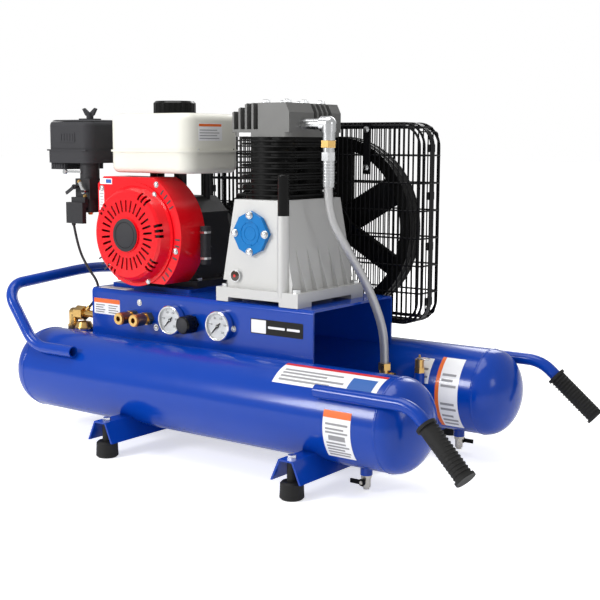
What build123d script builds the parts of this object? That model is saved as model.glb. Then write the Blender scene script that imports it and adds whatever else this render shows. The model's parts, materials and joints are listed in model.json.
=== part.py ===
"""Twin-tank air compressor with a petrol engine: every piece as its own solid, in millimetres.

Frame: +X runs from the carry bar to the push handles, -Y is the front panel's side and +Z is up.
Everything is laid out from the middle of the tanks at floor level, and settle() then moves the whole
so that the origin lies under the middle of its box.
"""

from build123d import *
import math
import os

# ---- driving dimensions, tanks and stand ----
TANK_R = 77.0
TANK_LENGTH = 904.0
TANK_HEAD_DEPTH = 52.0
TANK_WALL = 2.8
TANK_SEAM_DEG = -60.0
TANK_Y = 154.6
TANK_Z = 118.4
WELD_GAP = 0.05
CROSS_X = -60.0
RAIL_XS = (-146.0, 266.0)
RAIL_HALF_LENGTH = 275.0
RAIL_TOP_Z = 66.0
RAIL_BOTTOM_Z = 30.0
RAIL_TOP_HALF = 14.0
RAIL_BOTTOM_HALF = 30.0
RAIL_SHEET = 3.0
FOOT_Y = RAIL_HALF_LENGTH - 17.5
FOOT_R = 20.0
FOOT_CORE_R = 8.0

# ---- deck ----
DECK_X0 = -316.6
DECK_X1 = 210.0
DECK_HALF_Y = 125.0
DECK_TOP = 279.0
DECK_SHEET = 4.0
DECK_BEND = 8.0
PLATE_T = 6.0
PLATE_X0, PLATE_X1 = -307.0, -103.0
PLATE_Y0, PLATE_Y1 = -81.0, 100.0

# ---- tubes ----
TUBE_R = 10.65
TUBE_WALL = 2.3
TUBE_SEAT_DEG = 36.9
BAR_START_X = -265.0
BAR_BEND_X = 80.0 - TANK_LENGTH / 2
BAR_END_X = -2.0 - TANK_LENGTH / 2
BAR_CORNER_Z = 280.0
BAR_MID_Z = 298.0
HANDLE_START_X = 288.0
HANDLE_BEND_X = TANK_LENGTH / 2 + 11.0
HANDLE_END = (TANK_LENGTH / 2 + 109.0, 240.0, 82.0)
TUBE_BEND_R = 62.0
GRIP_LENGTH = 101.0
GRIP_R = 14.0
GRIP_FLANGE_R = 17.0
SLIP = 0.1

# ---- fasteners ----
BOLT_R = 4.0
BOLT_CLEAR = 0.5
BOLT_AF = 13.0
BOLT_HEAD = 5.3
NUT_H = 6.5

# ---- drains ----
DRAIN_X = 339.0
BUNG_R = 10.0
BUNG_BOTTOM = 28.0
DRAIN_BODY_R = 7.0
DRAIN_LOW = 4.4
DRAIN_PIVOT_Z = 18.0
DRAIN_LEVER = 22.0
RUN_CLEAR = 0.05

# ---- front panel ----
PANEL_Z = 232.0
COUPLER_XS = (-204.0, -166.0)
COUPLER_Y = -168.0
COUPLER_BORE = 5.0
GAUGE_XS = (-102.0, 12.0)
GAUGE_Z = 235.5
GAUGE_R = 27.0
GAUGE_FACE_Y = -141.0
KNOB_X = -58.0
KNOB_R = 17.0
KNOB_Y = -154.0
PORT_HOLE_R = 7.5
MANIFOLD_X0 = -222.0
MANIFOLD_X1 = 30.0
MANIFOLD_DEPTH = 24.0
OUTLET_X = -388.0
OUTLET_Y = -109.0
OUTLET_Z = 222.0
CAP_X = -348.0
CAP_Y = -118.0
CHECK_Z = 130.0
SAFETY_X = 299.0
SAFETY_Y = 76.0
NEEDLE_REST = -135.0

# ---- pump ----
PUMP_X = 71.0
PUMP_Z = 401.0
PUMP_FRONT = -112.0
PUMP_REAR = 70.0
PUMP_BASE = (-4.0, 176.0, -122.0, 80.0)
BASE_TOP = 304.0
CASE_TOP = 459.0
CYLINDER_YS = (-50.5, 25.5)
BORE_R = 34.0
THROW = 20.0
PIN_R = 11.0
SHAFT_R = 15.0
FRONT_SHAFT_R = 12.5
ROD_LENGTH = 92.0
BLOCK_TOP = 567.0
HEAD_BASE = 575.0
HEAD_TOP = 625.0
HEAD_BOX = (8.0, 133.0, -90.0, 65.0)
FIN_PITCH = 18.8
DISCHARGE_X = 187.0
DISCHARGE_Y = -50.0
DISCHARGE_Z = 589.0
POST_R = 11.0
POST_X = 138.0
POST_TOP = 434.0
SIGHT_X = 35.0
SIGHT_Z = 325.0

# ---- belt drive and guard ----
FLYWHEEL_R = 168.0
FLYWHEEL_Y = 155.0
RIM_WIDTH = 36.0
RIM_IN = FLYWHEEL_R - 22.0
ENGINE_PULLEY_R = 37.4
BELT_DEPTH = 9.0
BELT_WIDTH = 11.0
BELT_SPACING = 16.0
GROOVE_GAP = 0.5
GUARD = (-265.0, 266.0, 225.0, 595.0)
GUARD_Y0 = 130.0
GUARD_SPLIT = 167.0
GUARD_Y1 = 204.0
GUARD_T = 3.0
GUARD_CORNER = 45.0
GUARD_PITCH_X = 24.0
GUARD_PITCH_Z = 46.0

# ---- engine ----
ENGINE_X = -205.0
ENGINE_Z = 386.0
ENGINE_SHAFT_R = 12.5
FOOT_TOP = 297.0
CASE_Y0 = -50.0
CASE_Y1 = 62.0
CYL_TILT = 25.0
NECK = 70.0
SHROUD_Y0 = -118.0
SHROUD_Y1 = -52.0
SHROUD_WALL = 2.5
SHROUD_R = 115.0
RECOIL_R = 97.0
RECOIL_Y = -142.0
FAN_R = 86.0
FUEL = (-285.0, -80.0, -110.0, 45.0, 500.0, 610.0)
FUEL_WALL = 3.0
SEAM_Z = 541.0
FUEL_CAP = (-183.0, -30.0)
FUEL_CAP_R = 40.0
AIR = (-460.0, -335.0, -110.0, 20.0)
AIR_BASE_Z = 516.0
AIR_SPLIT = 541.0
AIR_TOP = 600.0
CARB = (-384.0, -344.0, -100.0, -60.0)
MUFFLER = (-400.0, -295.0, 52.0, 110.0, 500.0, 603.0)

# ---- routes chosen by hand ----
HOSE_R = 7.75
HOSE_ROUTE = [
    (187, -50, 482),
    (187, -50, 438),
    (206, -29, 384),
    (222, 8, 325),
    (231, 41, 265),
    (234, 63, 210),
    (234, 63, 165),
]
CABLE_R = 2.5
CABLE_ROUTE = [
    (-380, -110, 395),
    (-369, -111, 352),
    (-348, -107, 314),
    (-326, -99, 284),
    (-326, -101, 256),
    (-343, -108, 236),
]

pieces = {}


# ---- shared shapes ----
def block(x0, x1, y0, y1, z0, z1):
    """A box between two opposite corners."""
    return Pos((x0 + x1) / 2, (y0 + y1) / 2, (z0 + z1) / 2) * Box(x1 - x0, y1 - y0, z1 - z0)


def rod_x(r, x0, x1, y, z):
    return Pos((x0 + x1) / 2, y, z) * Rot(0, 90, 0) * Cylinder(r, x1 - x0)


def rod_y(r, y0, y1, x, z):
    return Pos(x, (y0 + y1) / 2, z) * Rot(90, 0, 0) * Cylinder(r, y1 - y0)


def rod_z(r, z0, z1, x, y):
    return Pos(x, y, (z0 + z1) / 2) * Cylinder(r, z1 - z0)


def hex_z(flats, z0, z1, x, y):
    return Pos(x, y, z0) * extrude(RegularPolygon(flats / 2, 6, major_radius=False), z1 - z0)


def hex_y(flats, y0, y1, x, z):
    return Pos(x, y1, z) * Rot(90, 0, 0) * extrude(
        RegularPolygon(flats / 2, 6, major_radius=False), y1 - y0)


def hex_x(flats, x0, x1, y, z):
    return Pos(x0, y, z) * Rot(0, 90, 0) * extrude(
        RegularPolygon(flats / 2, 6, major_radius=False), x1 - x0)


def rod_between(p, q, r):
    p, q = Vector(*p), Vector(*q)
    return extrude(Plane(p, z_dir=q - p) * Circle(r), (q - p).length)


def prism_y(points, y0, y1):
    """An outline in X and Z, pulled along Y."""
    face = make_face(Polyline([(x, y0, z) for x, z in points], close=True))
    return extrude(face, y1 - y0, dir=(0, 1, 0))


def turned_y(points, x, z):
    """A closed outline in radius and Y, turned about an axis along Y through x, z."""
    face = make_face(Polyline([(r, y, 0) for r, y in points], close=True))
    return Pos(x, 0, z) * revolve(face, Axis.Y)


def turned_z(points, x, y):
    """A closed outline in radius and Z, turned about a vertical axis through x, y."""
    face = make_face(Polyline([(r, 0, z) for r, z in points], close=True))
    return Pos(x, y, 0) * revolve(face, Axis.Z)


def corner_radii(points, share=0.45):
    """The largest arc each corner of a route leaves room for."""
    radii = []
    for a, b, c in zip(points, points[1:], points[2:]):
        into, out = Vector(*b) - Vector(*a), Vector(*c) - Vector(*b)
        half_turn = math.radians(into.get_angle(out)) / 2
        radii.append(share * min(into.length, out.length) / math.tan(half_turn))
    return radii


def route_tube(points, radii, r, inner=0.0):
    """A tube along straight runs joined by arcs, hollow where an inner radius is given."""
    path = FilletPolyline(points, radius=radii)
    start = Plane(path @ 0, z_dir=path % 0)
    outer = sweep(start * Circle(r), path=path)
    if inner:
        outer = outer - sweep(start * Circle(inner), path=path)
    return outer, path.length


def add(name, *shapes):
    """Keeps one named piece, or a group of like ones, for writing."""
    solids = [s for shape in shapes for s in shape.solids()]
    pieces[name] = solids[0] if len(solids) == 1 else Compound(children=solids)


def tank_outside(side, grow=0.0):
    """The outer form of one tank, larger all round by grow."""
    half = TANK_LENGTH / 2 + grow
    depth, radius = TANK_HEAD_DEPTH + grow, TANK_R + grow
    straight = half - depth
    outline = [
        EllipticalCenterArc((straight, 0), depth, radius, start_angle=0, arc_size=90),
        Line((straight, radius), (0, radius)),
        Line((0, radius), (0, 0)),
        Line((0, 0), (half, 0)),
    ]
    right = revolve(make_face(outline), Axis.X)
    return Pos(0, side * TANK_Y, TANK_Z) * Rot(TANK_SEAM_DEG, 0, 0) * (right + mirror(right, Plane.YZ))


def both_tanks(grow=0.0):
    return tank_outside(-1, grow) + tank_outside(1, grow)


def tank_top_at(y, side):
    """Height of a tank's upper surface at a given y."""
    return TANK_Z + math.sqrt(TANK_R**2 - (y - side * TANK_Y) ** 2)


# ---- seats that follow from the tanks ----
OUTLET_SEAT_Z = tank_top_at(OUTLET_Y, -1) + 8
CAP_SEAT_Z = tank_top_at(CAP_Y - 19, -1) + 1
CHECK_SEAT_Y = HOSE_ROUTE[-1][1] + 10
SAFETY_SEAT_Z = tank_top_at(SAFETY_Y + 9.5, 1) + 1


# ---- tanks, stand and tubes ----
def make_tanks():
    for side, name in ((-1, "front_tank"), (1, "rear_tank")):
        tank = tank_outside(side)
        tank += rod_z(BUNG_R, BUNG_BOTTOM, TANK_Z - TANK_R + 4, DRAIN_X, side * TANK_Y)
        inner_y = side * (TANK_Y - TANK_R)
        low_y, high_y = sorted((inner_y - side * 6, inner_y + side * 8))
        tank += rod_y(14, low_y, high_y, CROSS_X, TANK_Z)
        if side < 0:
            tank += rod_z(11, 165, OUTLET_SEAT_Z, OUTLET_X, OUTLET_Y)
            tank += rod_z(19, 170, CAP_SEAT_Z, CAP_X, CAP_Y)
        else:
            tank += rod_y(13, CHECK_SEAT_Y, 92, HOSE_ROUTE[-1][0], CHECK_Z)
            tank += rod_z(9.5, 135, SAFETY_SEAT_Z, SAFETY_X, SAFETY_Y)
        tank -= tank_outside(side, -TANK_WALL)
        tank -= rod_z(5, 0, TANK_Z, DRAIN_X, side * TANK_Y)
        tank -= rod_y(6, *sorted((inner_y - side * 10, inner_y + side * 20)), CROSS_X, TANK_Z)
        add(name, tank)


def make_crossover():
    reach = TANK_Y - TANK_R - 6
    pipe = rod_y(9, -reach, reach, CROSS_X, TANK_Z) - rod_y(6, -reach, reach, CROSS_X, TANK_Z)
    for side in (-1, 1):
        y0, y1 = sorted((side * reach, side * (reach - 16)))
        pipe += hex_y(26, y0, y1, CROSS_X, TANK_Z) - rod_y(6, y0, y1, CROSS_X, TANK_Z)
    add("tank_crossover", pipe)


def make_rails():
    outer = [(-RAIL_BOTTOM_HALF, RAIL_BOTTOM_Z), (-RAIL_TOP_HALF, RAIL_TOP_Z),
             (RAIL_TOP_HALF, RAIL_TOP_Z), (RAIL_BOTTOM_HALF, RAIL_BOTTOM_Z)]
    edge = RAIL_SHEET * 1.09
    low_x, top_x = RAIL_BOTTOM_HALF - edge, RAIL_TOP_HALF - edge * 0.7
    low_z, top_z = RAIL_BOTTOM_Z - 1, RAIL_TOP_Z - RAIL_SHEET
    inner = [(-low_x, low_z), (-top_x, top_z), (top_x, top_z), (low_x, low_z)]
    tanks = both_tanks(WELD_GAP)
    rails = []
    for x in RAIL_XS:
        rail = prism_y([(x + a, z) for a, z in outer], -RAIL_HALF_LENGTH, RAIL_HALF_LENGTH)
        rail -= prism_y([(x + a, z) for a, z in inner], -RAIL_HALF_LENGTH - 1, RAIL_HALF_LENGTH + 1)
        rail -= tanks
        for side in (-1, 1):
            rail -= rod_z(BOLT_R + BOLT_CLEAR, RAIL_TOP_Z - 10, RAIL_TOP_Z + 10, x, side * FOOT_Y)
        rails.append(rail)
    add("foot_rails", *rails)


def make_feet():
    under = RAIL_TOP_Z - RAIL_SHEET
    feet = []
    for x in RAIL_XS:
        for side in (-1, 1):
            outline = [(0, 0), (FOOT_R - 3, 0), (FOOT_R, 3), (FOOT_R - 1, 26),
                       (FOOT_R - 4, RAIL_BOTTOM_Z - 1),
                       (FOOT_CORE_R, RAIL_BOTTOM_Z), (FOOT_CORE_R, under), (0, under)]
            foot = turned_z(outline, x, side * FOOT_Y)
            feet.append(foot - rod_z(BOLT_R, under - 35, under + 1, x, side * FOOT_Y))
    add("rubber_feet", *feet)


def make_deck():
    deck = block(DECK_X0, DECK_X1, -DECK_HALF_Y, DECK_HALF_Y, 150, DECK_TOP)
    top_edges = [e for e in deck.edges().filter_by(Axis.X) if e.center().Z > DECK_TOP - 1]
    deck = fillet(top_edges, DECK_BEND)
    inner = block(DECK_X0 - 1, DECK_X1 + 1, -DECK_HALF_Y + DECK_SHEET, DECK_HALF_Y - DECK_SHEET,
                  140, DECK_TOP - DECK_SHEET)
    top_edges = [e for e in inner.edges().filter_by(Axis.X) if e.center().Z > DECK_TOP - DECK_SHEET - 1]
    deck -= fillet(top_edges, DECK_BEND - DECK_SHEET)
    deck -= both_tanks(WELD_GAP)
    ports = [(x, PANEL_Z) for x in COUPLER_XS] + [(x, GAUGE_Z) for x in GAUGE_XS] + [(KNOB_X, PANEL_Z)]
    for x, z in ports:
        deck -= rod_y(PORT_HOLE_R, -DECK_HALF_Y - 5, -DECK_HALF_Y + 5, x, z)
    for x, y, _ in engine_bolt_places() + pump_bolt_places():
        deck -= rod_z(BOLT_R + BOLT_CLEAR, DECK_TOP - 10, DECK_TOP + 10, x, y)
    add("deck", deck)


def make_slide_plate():
    plate = block(PLATE_X0, PLATE_X1, PLATE_Y0, PLATE_Y1, DECK_TOP, DECK_TOP + PLATE_T)
    plate = fillet(plate.edges().filter_by(Axis.Z), 6)
    for x, y, _ in engine_bolt_places():
        slot = SlotOverall(30, 2 * (BOLT_R + BOLT_CLEAR))
        plate -= Pos(x, y, DECK_TOP - 1) * extrude(slot, PLATE_T + 2)
    add("engine_slide_plate", plate)


def tube_seat():
    """Where a tube's centre lies on the outer flank of the front tank, as y and z."""
    reach = TANK_R + TUBE_R + WELD_GAP
    angle = math.radians(TUBE_SEAT_DEG)
    return TANK_Y + reach * math.cos(angle), TANK_Z + reach * math.sin(angle)


def make_carry_bar():
    y, z = tube_seat()
    half = [(BAR_START_X, y, z), (BAR_BEND_X, y, z), (BAR_END_X, y - 1, BAR_CORNER_Z)]
    points = [(a, -b, c) for a, b, c in half] + [(BAR_END_X, 0, BAR_MID_Z)] + half[::-1]
    radii = [TUBE_BEND_R, TUBE_BEND_R * 0.75, 600, TUBE_BEND_R * 0.75, TUBE_BEND_R]
    bar, _ = route_tube(points, radii, TUBE_R, TUBE_R - TUBE_WALL)
    add("carry_bar", bar)


def make_push_handles():
    y, z = tube_seat()
    handles, grips = [], []
    for side in (-1, 1):
        bend = Vector(HANDLE_BEND_X, side * (y + 1), z)
        end = Vector(HANDLE_END[0], side * HANDLE_END[1], HANDLE_END[2])
        points = [(HANDLE_START_X, side * y, z), tuple(bend), tuple(end)]
        tube, _ = route_tube(points, [TUBE_BEND_R], TUBE_R, TUBE_R - TUBE_WALL)
        handles.append(tube)
        along = (end - bend).normalized()
        start = end - along * (GRIP_LENGTH - 4)
        grip = rod_between(tuple(start), tuple(end + along * 4), GRIP_R)
        for a, b in ((0, 5), (GRIP_LENGTH - 5, GRIP_LENGTH)):
            grip += rod_between(tuple(start + along * a), tuple(start + along * b), GRIP_FLANGE_R)
        grip -= rod_between(tuple(start - along), tuple(end + along * WELD_GAP), TUBE_R + SLIP)
        grips.append(grip)
    add("push_handles", *handles)
    add("handle_grips", *grips)


# ---- bolts ----
def engine_bolt_places():
    """Engine feet: hole centres and the height that the heads sit on."""
    return [(ENGINE_X + a, 6 + b, FOOT_TOP) for a in (-81, 81) for b in (-37.75, 37.75)]


def pump_bolt_places():
    x0, x1, y0, y1 = PUMP_BASE
    return [(x, y, BASE_TOP) for x in (x0 + 12, x1 - 12) for y in (y0 + 14, y1 - 12)]


def foot_bolt_places():
    return [(x, s * FOOT_Y, RAIL_TOP_Z) for x in RAIL_XS for s in (-1, 1)]


def make_bolts():
    bolts = []
    for x, y, seat in engine_bolt_places() + pump_bolt_places():
        low = DECK_TOP - DECK_SHEET
        shank = rod_z(BOLT_R, low - NUT_H - 3, seat, x, y)
        bolts.append(hex_z(BOLT_AF, seat, seat + BOLT_HEAD, x, y) + shank)
        bolts.append(hex_z(BOLT_AF, low - NUT_H, low, x, y) - rod_z(BOLT_R, low - NUT_H, low, x, y))
    for x, y, seat in foot_bolt_places():
        low = RAIL_TOP_Z - RAIL_SHEET
        bolts.append(hex_z(BOLT_AF, seat, seat + BOLT_HEAD, x, y) + rod_z(BOLT_R, low - 35, seat, x, y))
    add("mounting_bolts", *bolts)


# ---- drains ----
def make_drains():
    bodies = []
    for side, name in ((-1, "front_drain_lever"), (1, "rear_drain_lever")):
        y = side * TANK_Y
        body = hex_z(17, DRAIN_PIVOT_Z + 5, BUNG_BOTTOM, DRAIN_X, y)
        body += rod_z(DRAIN_BODY_R, 8, BUNG_BOTTOM - 5, DRAIN_X, y)
        body += rod_z(5, DRAIN_LOW, 8, DRAIN_X, y)
        stem_end = y - 8.5
        body += rod_y(3, stem_end - 8, y, DRAIN_X, DRAIN_PIVOT_Z)
        body -= rod_z(2.5, DRAIN_LOW - 1, BUNG_BOTTOM + 1, DRAIN_X, y)
        towards = -1
        if side > 0:
            body = body.rotate(Axis((DRAIN_X, y, 0), (0, 0, 1)), 180)
            towards = 1
        bodies.append(body)
        y_in = y + (stem_end - y) * (-towards) - 3.0 * (-towards)
        y_out = y_in - 3.0 * (-towards)
        a, b = sorted((y_in, y_out))
        lever = rod_y(6, a, b, DRAIN_X, DRAIN_PIVOT_Z)
        xa, xb = sorted((DRAIN_X, DRAIN_X + towards * DRAIN_LEVER))
        lever += block(xa, xb, a, b, DRAIN_PIVOT_Z - 3.5, DRAIN_PIVOT_Z + 3.5)
        lever -= rod_y(3 + RUN_CLEAR, a - 1, b + 1, DRAIN_X, DRAIN_PIVOT_Z)
        add(name, lever)
    add("drain_valve_bodies", *bodies)


# ---- air outlet ----
def make_outlets():
    inner = -DECK_HALF_Y + DECK_SHEET
    manifold = block(MANIFOLD_X0, MANIFOLD_X1, inner, inner + MANIFOLD_DEPTH, 212, 250)
    manifold = fillet(manifold.edges().filter_by(Axis.X), 3)
    manifold -= rod_y(4 + RUN_CLEAR, inner - 1, inner + 16, KNOB_X, PANEL_Z)
    add("outlet_manifold", manifold)

    elbow = rod_z(9, OUTLET_SEAT_Z, OUTLET_Z, OUTLET_X, OUTLET_Y)
    elbow += Pos(OUTLET_X, OUTLET_Y, OUTLET_Z) * Sphere(9)
    elbow += hex_z(20, OUTLET_SEAT_Z, OUTLET_SEAT_Z + 10, OUTLET_X, OUTLET_Y)
    elbow += rod_x(9, OUTLET_X, OUTLET_X + 12, OUTLET_Y, OUTLET_Z)
    valve = hex_x(25, OUTLET_X + 12, OUTLET_X + 34, OUTLET_Y, OUTLET_Z)
    valve += rod_x(7, OUTLET_X + 34, MANIFOLD_X0, OUTLET_Y, OUTLET_Z)
    cable_end, before = Vector(*CABLE_ROUTE[-1]), Vector(*CABLE_ROUTE[-2])
    gland_foot = cable_end + (cable_end - before).normalized() * 9
    valve += rod_between(tuple(gland_foot), tuple(cable_end), 4.5)
    cap_z = CAP_SEAT_Z
    top = OUTLET_Z - 14.5
    cap = turned_z([(0, cap_z), (18, cap_z), (18, cap_z + 3), (13, top), (0, top)], CAP_X, CAP_Y)
    add("outlet_pipework", elbow, valve, cap)

    bodies = []
    for x, side in zip(COUPLER_XS, ("left", "right")):
        front = -DECK_HALF_Y
        body = rod_y(PORT_HOLE_R - 0.5, front, inner, x, PANEL_Z)
        body += hex_y(22, front - 12, front, x, PANEL_Z)
        body += rod_y(9, COUPLER_Y, front - 12, x, PANEL_Z)
        body += rod_y(10.5, COUPLER_Y, COUPLER_Y + 3, x, PANEL_Z)
        body -= rod_y(COUPLER_BORE, COUPLER_Y - 1, COUPLER_Y + 24, x, PANEL_Z)
        bodies.append(body)
        sleeve = rod_y(11.5, COUPLER_Y + 3, COUPLER_Y + 25, x, PANEL_Z)
        sleeve -= rod_y(9 + RUN_CLEAR, COUPLER_Y, COUPLER_Y + 30, x, PANEL_Z)
        add(f"{side}_coupler_sleeve", sleeve)
    add("coupler_bodies", *bodies)


def make_gauges():
    cases = []
    inner = -DECK_HALF_Y + DECK_SHEET
    back = -DECK_HALF_Y - 2
    dial = GAUGE_FACE_Y + 5
    for x, name in zip(GAUGE_XS, ("tank_gauge_needle", "outlet_gauge_needle")):
        case = rod_y(GAUGE_R, GAUGE_FACE_Y, back, x, GAUGE_Z)
        case = chamfer(case.edges().group_by(Axis.Y)[0], 1.2)
        case -= rod_y(GAUGE_R - 3, GAUGE_FACE_Y - 1, dial, x, GAUGE_Z)
        case += rod_y(6, back, inner, x, GAUGE_Z)
        case += rod_y(1.2, dial - 3.2, dial, x, GAUGE_Z)
        cases.append(case)
        y0, y1 = dial - 2.6, dial - 1.4
        needle = rod_y(3.2, y0, y1, x, GAUGE_Z)
        needle += prism_y([(x - 1.6, GAUGE_Z), (x - 0.4, GAUGE_Z + 19), (x + 0.4, GAUGE_Z + 19),
                           (x + 1.6, GAUGE_Z), (x + 1.0, GAUGE_Z - 8), (x - 1.0, GAUGE_Z - 8)], y0, y1)
        needle -= rod_y(1.2 + RUN_CLEAR, y0 - 1, y1 + 1, x, GAUGE_Z)
        add(name, needle.rotate(Axis((x, 0, GAUGE_Z), (0, 1, 0)), NEEDLE_REST))
    add("gauge_cases", *cases)


def make_knob():
    inner = -DECK_HALF_Y + DECK_SHEET
    knob = turned_y([(0, KNOB_Y), (KNOB_R - 3, KNOB_Y), (KNOB_R - 1, KNOB_Y + 2), (KNOB_R, KNOB_Y + 22),
                     (KNOB_R - 2, KNOB_Y + 25.5), (0, KNOB_Y + 25.5)], KNOB_X, PANEL_Z)
    for k in range(16):
        groove = rod_y(1.4, KNOB_Y - 1, KNOB_Y + 18, KNOB_X, PANEL_Z + KNOB_R)
        knob -= groove.rotate(Axis((KNOB_X, 0, PANEL_Z), (0, 1, 0)), k * 22.5)
    knob += rod_y(4, KNOB_Y + 20, inner + 14, KNOB_X, PANEL_Z)
    add("regulator_knob", knob)


def make_tank_valves():
    x, y, z = SAFETY_X, SAFETY_Y, SAFETY_SEAT_Z
    body = hex_z(17, z, z + 9, x, y) + rod_z(8, z + 9, z + 24, x, y) + rod_z(2, z + 24, z + 32, x, y)
    add("safety_valve_body", body)
    ring = rod_z(4.5, z + 24.6, z + 27, x, y) - rod_z(2 + RUN_CLEAR, z + 20, z + 34, x, y)
    loop = Pos(x + 12.2, y, z + 25.8) * Torus(8, 1.0)
    add("safety_valve_ring", ring + loop)
    hx, hy, hz = HOSE_ROUTE[-1]
    check = hex_y(24, hy - 10, CHECK_SEAT_Y, hx, CHECK_Z)
    check += rod_z(9, CHECK_Z, hz - 12, hx, hy) + hex_z(22, hz - 12, hz, hx, hy)
    check += rod_x(5.5, hx, hx + 22, hy, CHECK_Z + 14)
    add("check_valve", check)


def make_discharge():
    x, y, z = DISCHARGE_X, DISCHARGE_Y, DISCHARGE_Z
    hose_top = HOSE_ROUTE[0][2]
    elbow = rod_x(9, HEAD_BOX[1], x, y, z) + Pos(x, y, z) * Sphere(13) + rod_z(13, z - 14, z, x, y)
    elbow += rod_x(13, x - 14, x, y, z)
    nut = hex_z(23, z - 40, z - 28, x, y)
    coupling = rod_z(11.5, z - 28, z - 14, x, y)
    sleeve = rod_z(10.5, hose_top, z - 40, x, y) + hex_z(22, z - 62, z - 48, x, y)
    add("discharge_fittings", elbow + coupling, nut, sleeve)
    radii = corner_radii(HOSE_ROUTE)
    hose, length = route_tube(HOSE_ROUTE, radii, HOSE_R)
    print("hose radii", [round(r) for r in radii], "length", round(length, 1),
          "volume ratio", round(hose.volume / (math.pi * HOSE_R**2 * length), 4))
    add("discharge_hose", hose)
    radii = corner_radii(CABLE_ROUTE)
    cable, length = route_tube(CABLE_ROUTE, radii, CABLE_R)
    print("cable radii", [round(r) for r in radii], "length", round(length, 1),
          "volume ratio", round(cable.volume / (math.pi * CABLE_R**2 * length), 4))
    add("throttle_cable", cable)


# ---- pump ----
def make_pump_case():
    x0, x1, y0, y1 = PUMP_BASE
    case = block(x0, x1, y0, y1, DECK_TOP, BASE_TOP)
    case -= block(x0 + 27, x1 - 40, y0 - 1, y1 + 1, DECK_TOP - 1, DECK_TOP + 8)
    case -= block(x0 - 1, x1 + 1, y0 + 40, y1 - 40, DECK_TOP - 1, DECK_TOP + 8)
    outline = [(2, BASE_TOP), (31, CASE_TOP), (130, CASE_TOP), (160, BASE_TOP)]
    case += prism_y(outline, PUMP_FRONT, PUMP_REAR)
    rib_low_x, rib_top_x, rib_top_z = 170, 136, CASE_TOP - 50
    for k in range(5):
        y = -88 + k * 32
        rib = [(120, BASE_TOP), (rib_low_x, BASE_TOP), (rib_top_x, rib_top_z), (110, rib_top_z)]
        case += prism_y(rib, y, y + 4)
    case += rod_z(POST_R, BASE_TOP - 10, POST_TOP, POST_X, PUMP_FRONT)
    cavity = rod_y(46, PUMP_FRONT + 8, PUMP_REAR - 14, PUMP_X, PUMP_Z)
    for y in CYLINDER_YS:
        cavity += rod_z(BORE_R + 2, PUMP_Z, CASE_TOP + 1, PUMP_X, y)
    case -= cavity
    case -= rod_z(POST_R - 1 + SLIP, POST_TOP, CASE_TOP + 1, POST_X, PUMP_FRONT)
    case -= rod_y(26, PUMP_FRONT - 1, PUMP_FRONT + 9, PUMP_X, PUMP_Z)
    case -= rod_y(SHAFT_R + RUN_CLEAR, PUMP_REAR - 20, PUMP_REAR + 1, PUMP_X, PUMP_Z)
    case -= rod_y(11, PUMP_FRONT - 1, PUMP_FRONT + 4, SIGHT_X, SIGHT_Z)
    for x, y, _ in pump_bolt_places():
        case -= rod_z(BOLT_R + BOLT_CLEAR, DECK_TOP - 1, BASE_TOP + 1, x, y)
        case -= rod_z(BOLT_AF * 0.62, BASE_TOP, BASE_TOP + 12, x, y)
    add("pump_crankcase", case)


def make_pump_trim():
    outline = [(-40, 0), (-24, 28), (0, 39), (24, 28), (40, 0), (24, -28), (0, -39), (-24, -28)]
    plate = prism_y([(PUMP_X + a, PUMP_Z + b) for a, b in outline], PUMP_FRONT - 8, PUMP_FRONT)
    plate += rod_y(26 - SLIP, PUMP_FRONT, PUMP_FRONT + 16, PUMP_X, PUMP_Z)
    plate -= rod_y(FRONT_SHAFT_R + RUN_CLEAR, PUMP_FRONT - 4, PUMP_FRONT + 20, PUMP_X, PUMP_Z)
    for a, b in ((-33, 0), (33, 0), (0, 32), (0, -32)):
        plate += hex_y(9, PUMP_FRONT - 12, PUMP_FRONT - 8, PUMP_X + a, PUMP_Z + b)
    add("pump_bearing_cover", plate)
    glass = rod_y(11, PUMP_FRONT - 5, PUMP_FRONT + 4, SIGHT_X, SIGHT_Z)
    glass -= rod_y(6.5, PUMP_FRONT - 6, PUMP_FRONT - 2, SIGHT_X, SIGHT_Z)
    add("pump_sight_glass", glass)
    tube = rod_z(POST_R - 1, POST_TOP, POST_TOP + 70, POST_X, PUMP_FRONT)
    add("pump_breather", fillet(tube.edges().group_by(Axis.Z)[-1], 3))


def make_cylinder_block():
    body = None
    for y in CYLINDER_YS:
        barrel = rod_z(BORE_R + 8, CASE_TOP, BLOCK_TOP, PUMP_X, y)
        body = barrel if body is None else body + barrel
    ya, yb = CYLINDER_YS
    body += block(PUMP_X - 20, PUMP_X + 20, ya, yb, CASE_TOP, BLOCK_TOP)
    x0, x1, y0, y1 = HEAD_BOX
    cx, cy, w, d = (x0 + x1) / 2, (y0 + y1) / 2, x1 - x0, y1 - y0
    for k in range(5):
        z = CASE_TOP + 21 + k * FIN_PITCH
        body += Pos(cx, cy, z - 2) * extrude(RectangleRounded(w - 8, d - 6, 30), 4)
    body += Pos(cx, cy, BLOCK_TOP - 5) * extrude(RectangleRounded(w - 10, d - 8, 24), 5)
    body += Pos(cx + 4, cy, CASE_TOP) * extrude(RectangleRounded(w - 34, d - 6, 16), 8)
    for y in CYLINDER_YS:
        body -= rod_z(BORE_R, CASE_TOP - 1, BLOCK_TOP + 1, PUMP_X, y)
    add("pump_cylinder_block", body)


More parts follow.
